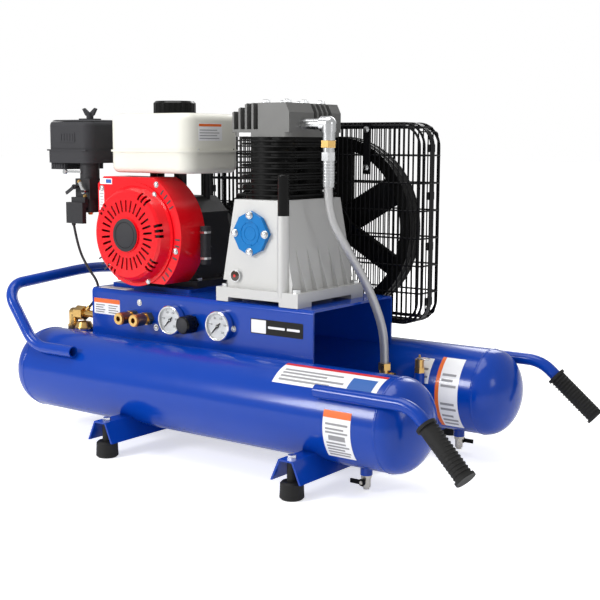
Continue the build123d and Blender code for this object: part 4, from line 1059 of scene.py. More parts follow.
@dataclass
class TankTrim(Assembly):
    """Labels and weld beads of the two air tanks."""

    radius: float = 77.0
    centre_y: float = 154.6
    centre_z: float = 118.4
    head_x: float = 400.0
    seat: float = 0.12
    thickness: float = 0.3
    step_deg: float = 4.0
    bead_steps: int = 240
    bead_half: Pair = (3.0, 1.15)
    bead_ripple: Pair = (0.16, 0.1)

    def patch(self, blank: Blank, side: int, x: Pair, up: Pair, layer: int, finish: int) -> None:
        """A thin curved patch on a tank's skin.

        Args:
            blank: The mesh it is added to.
            side: -1 for the front tank, 1 for the rear.
            x: Its ends along the tank.
            up: Its edges in degrees above the tank's front.
            layer: Which layer it is, from 0.
            finish: Its finish number.
        """
        blank.mark = finish
        inner = self.radius + self.seat + layer * self.thickness
        outer = inner + self.thickness
        steps = max(2, int((up[1] - up[0]) / self.step_deg))
        rings = []
        for k in range(steps + 1):
            a = math.radians(up[0] + (up[1] - up[0]) * k / steps)
            ring = []
            for r, end in ((inner, 0), (outer, 0), (outer, 1), (inner, 1)):
                y, z = side * self.centre_y - r * math.cos(a), self.centre_z + r * math.sin(a)
                ring.append(Vector((x[end], y, z)))
            rings.append(ring)
        blank.loft(rings)

    def label(self, name: str, side: int, x: Pair, up: Pair, bars: Sequence[Bar],
              finishes: Sequence[Finish]) -> None:
        """A label with bars on it.

        Args:
            name: The piece's name.
            side: -1 for the front tank, 1 for the rear.
            x: Its ends along the tank.
            up: Its edges in degrees.
            bars: Left, right, bottom and top of each bar as shares of the label, and its finish number.
            finishes: The label's finishes.
        """
        blank = Blank()
        self.patch(blank, side, x, up, 0, 0)
        for a, b, c, d, finish in bars:
            xs = (x[0] + (x[1] - x[0]) * a, x[0] + (x[1] - x[0]) * b)
            ups = (up[0] + (up[1] - up[0]) * c, up[0] + (up[1] - up[0]) * d)
            self.patch(blank, side, xs, ups, 1, finish)
        blank.piece(name, finishes)

    def labels(self) -> None:
        """The labels on both tanks, with plain bars in place of words."""
        inks = [PAPER, GREY_INK, ORANGE]
        lines = print_lines(0.05, 0.075, ((0.12, 0.5), (0.27, 0.62), (0.42, 0.44), (0.57, 0.58)))
        self.label("tank_data_label", -1, (190, 388), (43, 81),
                   [*lines, (0.72, 0.95, 0.14, 0.66, 3), (0.0, 1.0, 0.86, 1.0, 2)],
                   [PAPER, GREY_INK, SCARLET, STEEL_BLUE_INK])
        small = print_lines(0.1, 0.035, ((0.06, 0.74), (0.13, 0.8), (0.2, 0.62), (0.27, 0.8), (0.34, 0.7),
                                         (0.56, 0.8), (0.63, 0.66)))
        self.label("tank_caution_label", -1, (306, 358), (-41, 20),
                   [*small, (0.0, 1.0, 0.86, 1.0, 2), (0.2, 0.8, 0.42, 0.52, 1), (0.1, 0.9, 0.72, 0.76, 1)],
                   inks)
        rows = print_lines(0.24, 0.03, ((0.06, 0.6), (0.13, 0.66), (0.2, 0.5), (0.3, 0.66), (0.37, 0.6),
                                        (0.6, 0.66), (0.67, 0.5), (0.74, 0.6)))
        self.label("rear_tank_caution_label", 1, (330, 375), (-52, 53), [*rows, (0.0, 0.16, 0.0, 1.0, 2)],
                   inks)
        self.label("rear_tank_small_label", 1, (291, 315), (12, 48),
                   [(0.0, 0.22, 0.0, 1.0, 2), (0.34, 0.86, 0.2, 0.28, 1), (0.34, 0.8, 0.5, 0.58, 1)], inks)

    def weld_beads(self) -> None:
        """Rippled weld beads where each tank's heads join its shell."""
        blank = Blank()
        (wide, high), (short, long) = self.bead_half, self.bead_ripple
        for side in (-1, 1):
            for x in (-self.head_x, self.head_x):
                rings = []
                for k in range(self.bead_steps):
                    a = math.tau * k / self.bead_steps
                    ripple = short * math.sin(k * math.pi / 2) + long * math.sin(a * 7 + side)
                    out = Vector((0, math.cos(a), math.sin(a)))
                    middle = Vector((x, side * self.centre_y, self.centre_z)) + out * (self.radius - 0.5)
                    rings.append([
                        middle + out * (high + ripple) * math.cos(b) + Vector((wide * math.sin(b), 0, 0))
                        for b in (math.tau * i / 8 for i in range(8))])
                blank.loft(rings, closed=True)
        blank.piece("tank_weld_beads", [BLUE], smooth_deg=60)

    def build(self) -> None:
        """Builds everything on the tanks."""
        self.labels()
        self.weld_beads()


@dataclass
class ControlPanel(Assembly):
    """Dials, plates and screws on the deck's front panel."""

    face_y: float = -125.0
    gauge_xs: Pair = (-102.0, 12.0)
    gauge_z: float = 235.5
    dial_y: float = -136.0
    dial_radius: float = 23.6
    glass_y: float = -140.2
    rim_radius: float = 25.2
    knob: Point = (-58.0, -154.0, 232.0)
    start_deg: float = 225.0
    sweep_deg: float = 270.0
    marks: int = 50
    major_every: int = 10
    mark_rings: Pair = (20.6, 21.4)
    figure_ring: float = 15.2
    figure_size: float = 5.0
    figure_depth: float = 0.08
    full_scales: tuple[int, int] = (250, 200)

    def plate(self, name: str, x: Pair, z: Pair, bars: Sequence[Bar],
              finishes: Sequence[Finish], corner: float = 2.0) -> None:
        """A flat plate on the panel with bars on it.

        Args:
            name: The piece's name.
            x: Its left and right.
            z: Its bottom and top.
            bars: Left, right, bottom and top of each bar as shares, and its finish number.
            finishes: The plate's finishes.
            corner: Its corner radius.
        """
        blank = Blank()
        front = self.face_y - 0.5
        blank.panel(x[0], x[1], z[0], z[1], front, self.face_y - 0.05, corner)
        for a, b, c, d, finish in bars:
            blank.mark = finish
            blank.panel(x[0] + (x[1] - x[0]) * a, x[0] + (x[1] - x[0]) * b, z[0] + (z[1] - z[0]) * c,
                        z[0] + (z[1] - z[0]) * d, front - 0.25, front, min(corner, 1.2))
        blank.piece(name, finishes)

    def plates(self) -> None:
        """The starting label, the name plate and the strip label on the deck."""
        rows = [bar for left in (0.06, 0.56)
                for bar in print_lines(left, 0.06, ((0.1, 0.34), (0.25, 0.38), (0.4, 0.3), (0.55, 0.36)), 2)]
        self.plate("starting_label", (-311, -242), (229, 259), [(0.0, 1.0, 0.72, 1.0, 1), *rows],
                   [PAPER, ORANGE, GREY_INK])
        self.plate("name_plate", (77, 190), (229, 255),
                   [(0.015, 0.3, 0.06, 0.94, 1), (0.34, 0.66, 0.42, 0.58, 1), (0.7, 0.94, 0.42, 0.58, 1)],
                   [GLOSS_BLACK, PAPER])
        blank = Blank()
        blank.block((-302, -121.5, 279.05), (-228, -99, 279.5), 2)
        blank.mark = 1
        for k in range(3):
            blank.block((-296, -118 + 6 * k, 279.5), (-296 + (60, 48, 56)[k], -115 + 6 * k, 279.7), 0.5)
        blank.piece("deck_label", [PAPER, GREY_INK])

    def dials(self) -> None:
        """White dials with marks and numbers under clear lenses."""
        faces, glass, rims = Blank(), Blank(), Blank()
        majors: list[Placing] = []
        minors: list[Placing] = []
        radius, z = self.dial_radius, self.gauge_z
        for x in self.gauge_xs:
            faces.turned((x, self.dial_y, z), AHEAD, [(radius, 0.05), (radius, 0.5)], 48)
            glass.turned((x, self.glass_y + 0.7, z), AHEAD,
                         [(radius + 0.2, 0.0), (radius + 0.2, 0.5), (radius * 0.7, 1.0), (0.5, 1.2)], 48)
            rims.torus((x, self.glass_y - 0.1, z), ALONG_Y, self.rim_radius, 1.0, 64, 8)
            for k in range(self.marks + 1):
                a = math.radians(self.start_deg - self.sweep_deg * k / self.marks)
                major = k % self.major_every == 0
                mx, mz = around((x, z), self.mark_rings[0 if major else 1], a)
                way = (math.cos(a), 0.0, math.sin(a))
                (majors if major else minors).append(((mx, self.dial_y - 0.6, mz), way))
        faces.piece("gauge_dials", [PAPER])
        glass.piece("gauge_lenses", [LENS])
        rims.piece("gauge_rims", [CHROME], smooth_deg=60)
        self.shop.bar.lay(majors, "gauge_major_marks", INK_AND_PAINTED_SHADE, 0.7, 0.2, 4.0)
        self.shop.bar.lay(minors, "gauge_minor_marks", INK_AND_PAINTED_SHADE, 0.32, 0.2, 2.2)
        self.numbers()

    def numbers(self) -> None:
        """Numbers on both dials, as thin solid figures."""
        whole = bmesh.new()
        count = self.marks // self.major_every
        for x, top in zip(self.gauge_xs, self.full_scales):
            for k in range(count + 1):
                a = math.radians(self.start_deg - self.sweep_deg * k / count)
                curve = bpy.data.curves.new("figure", "FONT")
                curve.body = str(top * k // count)
                curve.size = self.figure_size * MM
                curve.extrude = self.figure_depth * MM
                curve.align_x, curve.align_y = "CENTER", "CENTER"
                carrier = bpy.data.objects.new("figure", curve)
                bpy.context.scene.collection.objects.link(carrier)
                bpy.context.view_layer.update()
                mesh = bpy.data.meshes.new_from_object(carrier)
                fx, fz = around((x, self.gauge_z), self.figure_ring, a)
                spot = placed(Vector((fx, self.dial_y - 0.6, fz)))
                mesh.transform(Matrix.Translation(spot) @ Matrix.Rotation(math.pi / 2, 4, "X"))
                whole.from_mesh(mesh)
                bpy.data.objects.remove(carrier)
        made = bpy.data.meshes.new("gauge_numbers")
        bmesh.ops.remove_doubles(whole, verts=whole.verts, dist=1e-6)
        bmesh.ops.recalc_face_normals(whole, faces=whole.faces)
        whole.to_mesh(made)
        whole.free()
        dress(made, "gauge_numbers", [INK_AND_PAINTED_SHADE])

    def fittings(self) -> None:
        """Panel screws, and the regulator knob's cap and nut."""
        screws = [((x, self.face_y, z), AHEAD) for x, z in ((-190, 259), (-148, 216), (38, 232))]
        self.shop.fastener.fit(screws, "panel_screws", ZINC, 4.0, 2.2, 20, 6.0)
        cap = Blank()
        cap.turned(self.knob, AHEAD, [(12.4, -0.3), (12.4, 0.4), (11.6, 0.9), (0.3, 1.0)], 40)
        x, y, z = self.knob
        cap.torus((x, y - 0.4, z), ALONG_Y, 13.2, 0.5, 48, 6)
        cap.piece("knob_cap", [PLASTIC], Body.KNOB)
        nuts = Blank()
        nuts.turned((x, self.face_y - 0.05, z), AHEAD, [(16, 0), (16, 2.6), (14.6, 3.0)], 6)
        nuts.piece("knob_nut", [BLACK_COAT])

    def build(self) -> None:
        """Builds everything on the panel."""
        self.plates()
        self.dials()
        self.fittings()


@dataclass
class BeltGuard(Assembly):
    """The wire cage round the flywheel and belts, in two halves joined by a dark band."""

    x0: float = -265.0
    x1: float = 266.0
    z0: float = 225.0
    z1: float = 595.0
    corner: float = 45.0
    front_y: float = 130.0
    split_y: float = 167.0
    back_y: float = 204.0
    upright_pitch: float = 10.2
    row_pitch: float = 50.0
    wire: float = 1.4
    frame_wire: float = 2.3
    bend: float = 7.0
    hubs: tuple[Point, ...] = ((71.0, 401.0, 40.0), (-205.0, 386.0, 36.0))
    side_clip_zs: tuple[float, ...] = (268, 370, 462, 548)
    top_clip_xs: tuple[float, ...] = (-150, -30, 90, 190)
    clip_reach: float = 12.0
    clip_half: float = 7.0

    def reach(self, at: float, low: float, high: float, edge_low: float, edge_high: float) -> Pair:
        """Where a wire ends inside the rounded outline.

        Args:
            at: The wire's place across.
            low: The outline's low side across.
            high: The outline's high side across.
            edge_low: Its low end along the wire.
            edge_high: Its high end along the wire.

        Returns:
            The wire's low and high ends.
        """
        into = max(low + self.corner - at, at - (high - self.corner), 0.0)
        cut = self.corner - math.sqrt(max(self.corner**2 - into**2, 0.0))
        return edge_low + cut, edge_high - cut

    def hooped(self, across: float, low: float, high: float, face: float,
               upright: bool) -> list[list[Vector]]:
        """One wire over the face that turns back along both sides to the band, cut where a hub passes.

        Args:
            across: Its place across.
            low: Its low end.
            high: Its high end.
            face: y of the face.
            upright: Whether it stands upright.

        Returns:
            Its paths.
        """
        away = 1 if face < self.split_y else -1
        lift = self.wire * (1 if upright else 2.6) * away
        near, bend = face + lift + self.wire * away * 0.2, self.bend
        stations = [(low + self.wire, self.split_y - away), (low + self.wire, near + bend * away)]
        stations += [(low + self.wire + bend * 0.3, near + bend * 0.3 * away), (low + bend, near)]
        stations += [(high - bend, near), (high - self.wire - bend * 0.3, near + bend * 0.3 * away)]
        stations += [(high - self.wire, near + bend * away), (high - self.wire, self.split_y - away)]

        def spot(along: float, y: float) -> Vector:
            """The point at a distance along the wire."""
            return Vector((across, y, along)) if upright else Vector((along, y, across))

        whole = [spot(a, y) for a, y in stations]
        if face > self.split_y:
            return [whole]
        for hx, hz, radius in self.hubs:
            middle, offset = (hz, across - hx) if upright else (hx, across - hz)
            if abs(offset) < radius:
                half = math.sqrt(radius**2 - offset**2)
                left = whole[:4] + [spot(middle - half, near)]
                return [left, [spot(middle + half, near)] + whole[4:]]
        return [whole]

    def outline(self, y: float, inset: float) -> list[Vector]:
        """The rounded outline at one depth, closed.

        Args:
            y: Its depth.
            inset: How far inside the cage's box it runs.

        Returns:
            Its points, the first repeated at the end.
        """
        r = self.corner - inset
        left, right = self.x0 + self.corner, self.x1 - self.corner
        low, high = self.z0 + self.corner, self.z1 - self.corner
        spots = []
        middles = ((right, high), (left, high), (left, low), (right, low))
        for quarter, middle in enumerate(middles):
            for k in range(13):
                x, z = around(middle, r, math.radians(90 * quarter + 7.5 * k))
                spots.append(Vector((x, y, z)))
        return spots + [spots[0]]

    def band(self, blank: Blank, y0: float, y1: float, inset: float, thick: float) -> None:
        """A flat strip round the outline.

        Args:
            blank: The mesh it is added to.
            y0: Its front edge.
            y1: Its back edge.
            inset: How far inside the cage's box its outside is.
            thick: Its thickness.
        """
        outer_front, outer_back = self.outline(y0, inset)[:-1], self.outline(y1, inset)[:-1]
        inner_front, inner_back = self.outline(y0, inset + thick)[:-1], self.outline(y1, inset + thick)[:-1]
        rings = [list(four) for four in zip(outer_front, outer_back, inner_back, inner_front)]
        blank.loft(rings, closed=True)

    def half(self, face: float, name: str, node: str) -> None:
        """One half of the cage.

        Args:
            face: y of its face.
            name: The start of its pieces' names.
            node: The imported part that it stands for.
        """
        uprights: list[list[Vector]] = []
        count = int((self.x1 - self.x0 - 16) // self.upright_pitch)
        for k in range(count + 1):
            x = (self.x0 + self.x1) / 2 + (k - count / 2) * self.upright_pitch
            low, high = self.reach(x, self.x0, self.x1, self.z0, self.z1)
            uprights += self.hooped(x, low, high, face, True)
        main = self.shop.wire.lay(uprights, name + "_uprights", BLACK_COAT, self.wire)
        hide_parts(node)
        rows: list[list[Vector]] = []
        count = int((self.z1 - self.z0 - 20) // self.row_pitch)
        for k in range(count + 1):
            z = (self.z0 + self.z1) / 2 + (k - count / 2) * self.row_pitch
            low, high = self.reach(z, self.z0, self.z1, self.x0, self.x1)
            rows += self.hooped(z, low, high, face, False)
        away = 1 if face < self.split_y else -1
        if away > 0:
            for hx, hz, radius in self.hubs:
                turn = [around((hx, hz), radius, math.tau * i / 32) for i in range(33)]
                rows.append([Vector((x, face + self.wire * 1.4, z)) for x, z in turn])
        self.shop.wire.lay(rows, name + "_rows", BLACK_COAT, self.wire * 1.25)
        rim = [self.outline(face + (self.frame_wire + 8) * away, self.frame_wire),
               self.outline(face + self.frame_wire * away, self.frame_wire + 5.0)]
        self.shop.wire.lay(rim, name + "_rims", BLACK_COAT, self.frame_wire, 8)

    def build(self) -> None:
        """Builds the cage, its band, clips and bracket."""
        self.half(self.front_y, "guard_front_wire", "guard_front")
        self.half(self.back_y, "guard_rear_wire", "guard_rear")
        band = Blank()
        self.band(band, self.split_y - 7, self.split_y - 0.4, 0.2, 2.0)
        self.band(band, self.split_y + 0.4, self.split_y + 7, 0.2, 2.0)
        y0, y1 = self.split_y - self.clip_reach, self.split_y + self.clip_reach
        for z in self.side_clip_zs:
            for x in (self.x1 - 6, self.x0 + 1.5):
                band.block((x, y0, z - self.clip_half), (x + 4.5, y1, z + self.clip_half), 1.2)
        for x in self.top_clip_xs:
            band.block((x - self.clip_half, y0, self.z1 - 5), (x + self.clip_half, y1, self.z1 - 0.5), 1.2)
        band.block((141, self.front_y - 4, 500), (156, self.front_y + 1.5, 594), 0.8)
        for x in (-150, 150):
            band.block((x - 20, 125.2, 232), (x + 20, self.front_y + 1.5, 268), 1.5)
        band.piece("guard_bands", [BLACK_COAT])
        bolts = [((148.5, self.front_y - 4, z), AHEAD) for z in (512, 582)]
        self.shop.fastener.fit(bolts, "guard_bracket_bolts", ZINC, 5.0, 3.4, 6, 6.2)


@dataclass
class PumpTrim(Assembly):
    """Bolt heads, fins, window and sticker of the two-cylinder pump."""

    cover_y: float = -120.0
    axis: Pair = (71.0, 401.0)
    head_top: float = 625.0
    window: Point = (35.0, -115.9, 325.0)
    elbow: Point = (187.0, -50.0, 589.0)
    fin_box: tuple[float, float, float, float] = (12.0, 129.0, -93.5, 68.5)
    fin_count: int = 11
    fin_foot: float = 465.0
    fin_pitch: float = 9.4
    fin_thick: float = 2.6
    fin_depth: float = 11.5
    fin_grows: Pair = (3.5, 1.5)
    dot_count: int = 9
    dot_ring: float = 20.0

    def fin_outline(self, grow: float, ease: float) -> list[Pair]:
        """A rounded outline round both cylinders.

        Args:
            grow: How far outside the fin box it runs.
            ease: Its corner radius.

        Returns:
            Its corners as x and y.
        """
        x0, x1, y0, y1 = self.fin_box
        return rounded((x0 - grow, x1 + grow), (y0 - grow, y1 + grow), ease, 7)

    def fins(self) -> None:
        """The cooling fins, rings round both cylinders, every other one a little shorter."""
        blank = Blank()
        for k in range(self.fin_count):
            low, grow = self.fin_foot + self.fin_pitch * k, self.fin_grows[1 if k % 2 else 0]
            high = low + self.fin_thick
            outer, inner = self.fin_outline(grow, 26.0), self.fin_outline(grow - self.fin_depth, 16.0)
            blank.loft([[Vector((ox, oy, low)), Vector((ox, oy, high)), Vector((ix, iy, high)),
                         Vector((ix, iy, low))] for (ox, oy), (ix, iy) in zip(outer, inner)], closed=True)
        blank.piece("cylinder_fins", [BLACK_IRON])

    def cover(self) -> None:
        """The raised dots and rings of the bearing cover."""
        blank = Blank()
        for k in range(self.dot_count):
            x, z = around(self.axis, self.dot_ring, math.tau * k / self.dot_count)
            blank.turned((x, self.cover_y - 0.4, z), AHEAD, [(1.6, -0.4), (1.6, 0.5), (1.2, 0.9)], 12)
        middle = (self.axis[0], self.cover_y, self.axis[1])
        blank.torus(middle, ALONG_Y, self.dot_ring, 0.9, 56, 8)
        blank.torus(middle, ALONG_Y, 12.0, 0.7, 40, 8)
        blank.piece("bearing_cover_ribs", [SKY])

    def discharge(self) -> None:
        """The brass nut under the discharge elbow and the crimp rings of the hose's end."""
        x, y, z = self.elbow
        nut = Blank()
        nut.turned((x, y, z - 40.2), UP, [(13.6, 0), (13.9, 0.6), (13.9, 11.8), (13.0, 12.4)], 6)
        nut.piece("discharge_nut", [BRASS], smooth_deg=20)
        rings = Blank()
        for k in range(7):
            rings.torus((x, y, z - 66 - 5.2 * k), UP, 10.5, 0.9, 40, 6)
        rings.piece("hose_crimp_rings", [ZINC], smooth_deg=60)

    def build(self) -> None:
        """Builds everything on the pump."""
        screws = [((self.axis[0] + a, self.cover_y + 0.1, self.axis[1] + b), AHEAD)
                  for a, b in ((-33, 0), (33, 0), (0, 32), (0, -32))]
        self.shop.fastener.fit(screws, "bearing_cover_screws", ZINC, 5.6, 4.5, 20, 7.0)
        heads = [((70.5 + a, -12.5 + b, self.head_top), UP) for a in (-8, 38) for b in (-50, 0, 50)]
        self.shop.fastener.fit(heads, "head_bolts", ZINC, 7.1, 5.6, 6, 8.6)
        window = Blank()
        window.turned(self.window, AHEAD, [(9.2, 0.0), (9.2, 1.6), (6.0, 2.4), (0.3, 2.7)], 36)
        window.mark = 1
        window.turned(self.window, AHEAD, [(2.6, 2.2), (2.6, 2.85), (0.2, 2.9)], 20)
        window.piece("sight_window", [OIL, SCARLET])
        sticker = Blank()
        sticker.panel(24, 50, 567.8, 574.2, -90.35, -90.05, 0.8)
        sticker.piece("valve_plate_sticker", [PAPER])
        self.fins()
        self.cover()
        self.discharge()


@dataclass
class EngineTrim(Assembly):
    """Labels, louvres, screws and small parts of the petrol engine."""

    axis: Pair = (-205.0, 386.0)
    shroud_y: float = -118.0
    hub_y: float = -145.0
    fuel_side: float = -80.0
    fuel_mouth: Pair = (-183.0, -30.0)
    cover_screw_ring: float = 92.0
    slot_step_deg: float = 6.4
    slot_groups: tuple[tuple[int, int, float], ...] = ((30, 4, 106.0), (338, 4, 106.0), (312, 3, 106.0),
                                                       (208, 3, 105.0))
    grip: Point = (-78.0, -65.0, 369.0)

    def louvres(self) -> None:
        """Dark bars on the fan shroud's face, in groups, painted shade standing for its slots."""
        slots: list[Placing] = []
        for start, count, radius in self.slot_groups:
            for k in range(count):
                a = math.radians(start + self.slot_step_deg * k)
                x, z = around(self.axis, radius, a)
                slots.append(((x, self.shroud_y - 0.1, z), (math.cos(a), 0.0, math.sin(a))))
        for k in range(5):
            slots.append(((-292.0 + 0.5 * k, self.shroud_y - 0.1, 384.0 + 9 * k), (1.0, 0.0, 0.0)))
        # Painted shade: dark bars where the shroud's slots show the shade inside it.
        self.shop.bar.lay(slots, "shroud_louvres", INK_AND_PAINTED_SHADE, 3.0, 0.5, 11.0)

    def recoil(self) -> None:
        """The black centre disc, its ring, a dark disc of painted shade behind the starter cover's face, and
        the screws round the starter cover.
        """
        disc = Blank()
        x, z = self.axis
        disc.turned((x, self.hub_y + 0.05, z), AHEAD, [(30.5, 0.0), (30.5, 1.2), (29.4, 1.9), (0.4, 2.0)], 56)
        disc.mark = 1
        disc.torus((x, self.hub_y - 1.5, z), ALONG_Y, 24.0, 0.7, 56, 6)
        disc.piece("starter_centre_disc", [PLASTIC, BLACK_COAT])
        # Painted shade: a dark disc behind the starter cover's face that darkens what shows through its
        # openings.
        slot_shade_disc = Blank()
        slot_shade_disc.turned((x, -126.0, z), AHEAD, [(70, 0.0), (70, 1.0), (26, 1.4)], 56)
        slot_shade_disc.piece("starter_slot_shade", [INK_AND_PAINTED_SHADE])
        spots = [around(self.axis, self.cover_screw_ring, math.radians(a)) for a in (55, 172, 292)]
        screws = [((sx, self.shroud_y - 3.0, sz), AHEAD) for sx, sz in spots]
        self.shop.fastener.fit(screws, "starter_cover_screws", ZINC, 4.2, 2.6, 6, 5.6)
        edge = [((ex, self.shroud_y, ez), AHEAD)
                for ex, ez in ((-291.0, 470.0), (-150.0, 480.0), (-262.0, 314.0), (-104.0, 360.0))]
        self.shop.fastener.fit(edge, "shroud_screws", ZINC, 4.0, 2.6, 20, 5.8)

    def stickers(self) -> None:
        """Plain stickers on the shroud and the fuel tank."""
        badge = Blank()
        face = self.shroud_y
        badge.panel(-296, -264, 478, 489, face - 0.35, face - 0.05, 1.5)
        badge.mark = 1
        badge.panel(-280, -266, 480, 487, face - 0.5, face - 0.35, 0.8)
        badge.mark = 0
        badge.panel(-299, -286, 428, 466, face - 0.35, face - 0.05, 1.0)
        badge.mark = 2
        for k in range(6):
            low = 432 + 5.4 * k
            badge.panel(-297, -289 + 1.5 * (k % 2), low, low + 1.4, face - 0.5, face - 0.35, 0.3)
        badge.piece("shroud_stickers", [PAPER, STEEL_BLUE_INK, GREY_INK])
        label = Blank()
        side = self.fuel_side
        label.block((side + 0.02, -80, 560), (side + 0.35, -14, 592), 0.01)
        label.mark = 1
        label.block((side + 0.35, -79, 586), (side + 0.55, -16, 590.5), 0.01)
        label.mark = 2
        for k in range(4):
            low = 563.5 + 5 * k
            label.block((side + 0.35, -77, low), (side + 0.5, -22 - 6 * (k % 2), low + 1.5), 0.01)
        label.piece("fuel_tank_label", [PAPER, ORANGE, GREY_INK])

    def fuel_fittings(self) -> None:
        """The cap's top, the tank's seam bolts and the neck's ring."""
        cap = Blank()
        cap.turned((*self.fuel_mouth, 633.2), UP, [(33, -0.4), (33, 0.3), (31, 0.7), (0.4, 0.75)], 56)
        cap.torus((*self.fuel_mouth, 633.2), UP, 34.6, 0.6, 64, 6)
        cap.piece("fuel_cap_disc", [CHROME], Body.FUEL_CAP)
        bolts = [((x, y, 543.0), UP) for x, y in ((-283, 10), (-82, -80), (-82, 20))]
        self.shop.fastener.fit(bolts, "tank_seam_bolts", ZINC, 3.0, 2.2, 6, 3.6)
        neck = Blank()
        neck.torus((*self.fuel_mouth, 613.2), UP, 34.4, 1.0, 64, 8)
        neck.piece("fuel_neck_ring", [CHROME], smooth_deg=60)

    def air_cleaner(self) -> None:
        """The seam, ribs and choke link of the air cleaner."""
        trim = Blank()
        trim.panel(-452, -342, 539.6, 542.4, -110.9, -108.9, 1.2)
        trim.panel(-420, -374, 556, 576, -108.9, -107.6, 3)
        for k in range(5):
            trim.panel(-414 + 8 * k, -411 + 8 * k, 559, 573, -109.6, -108.8, 1)
        for k in range(6):
            trim.panel(-450 + 7 * k, -447 + 7 * k, 505, 514, -100.9, -99.7, 0.8)
        trim.piece("air_cleaner_trim", [PLASTIC])
        lever = Blank()
        lever.block((-410, -103, 497), (-366, -98.5, 501.5), 1)
        lever.turned((-408, -103, 499), AHEAD, [(5.4, 0), (5.4, 3), (4.6, 4.2)], 24)
        lever.piece("choke_link", [ZINC])

    def carburetor(self) -> None:
        """Bowl bolt and idle screws."""
        bowl = [((-364, -80, 420.0), (0.0, 0.0, -1.0))]
        self.shop.fastener.fit(bowl, "bowl_bolt", BRASS, 5.0, 4.5, 6, 6.5)
        idle = [((-356, -100.0, 452), AHEAD), ((-372, -100.0, 480), AHEAD)]
        self.shop.fastener.fit(idle, "idle_screws", BRASS, 2.8, 4.0, 12, 3.4)

    def exhaust(self) -> None:
        """Dark bars on the silencer's shield, painted shade standing for its slots, and its screws."""
        slots = [((-375.0 + 11.5 * c, 110.2, 535.0 + 24 * r), UP) for c in range(6) for r in range(3)
                 if (c, r) != (0, 0)]
        # Painted shade: dark bars where the shield's slots show the shade behind it.
        self.shop.bar.lay(slots, "silencer_slots", INK_AND_PAINTED_SHADE, 4.2, 0.8, 17.0)
        screws = [((x, 110.0, z), ALONG_Y) for x in (-388, -307) for z in (514, 590)]
        self.shop.fastener.fit(screws, "silencer_screws", ZINC, 3.6, 2.4, 6, 4.6)

    def rope(self) -> None:
        """The starter rope from the shroud to the grip, and the bands on the grip."""
        way = Vector((0.29994, -0.92981, 0.2132)).normalized()
        inner = Vector(self.grip) - way * 26
        outer = Vector(self.grip) - way * 2
        path = [inner.lerp(outer, k / 24) for k in range(25)]
        rope = Blank()
        rope.sweep(path, 1.9, 12, lambda turn, along: 0.22 * math.sin(math.tau * (3 * turn + along / 9)))
        mesh = rope.mesh("starter_rope", 70)
        piece = bpy.data.objects.new("starter_rope", mesh)
        bpy.context.scene.collection.objects.link(piece)
        mesh.materials.append(PLASTIC.material())
        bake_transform(piece)
        LOG.info("piece starter_rope between frame and starter_grip")
        band = Blank()
        x, y, z = self.grip
        band.block((x - 8.3, y - 9.3, z - 26), (x + 8.3, y + 9.3, z - 22), 3.5)
        band.block((x - 8.3, y - 9.3, z + 22), (x + 8.3, y + 9.3, z + 26), 3.5)
        band.piece("starter_grip_bands", [ZINC], Body.STARTER)

    def build(self) -> None:
        """Builds everything on the engine."""
        self.louvres()
        self.recoil()
        self.stickers()
        self.fuel_fittings()
        self.air_cleaner()
        self.carburetor()
        self.exhaust()
        self.rope()


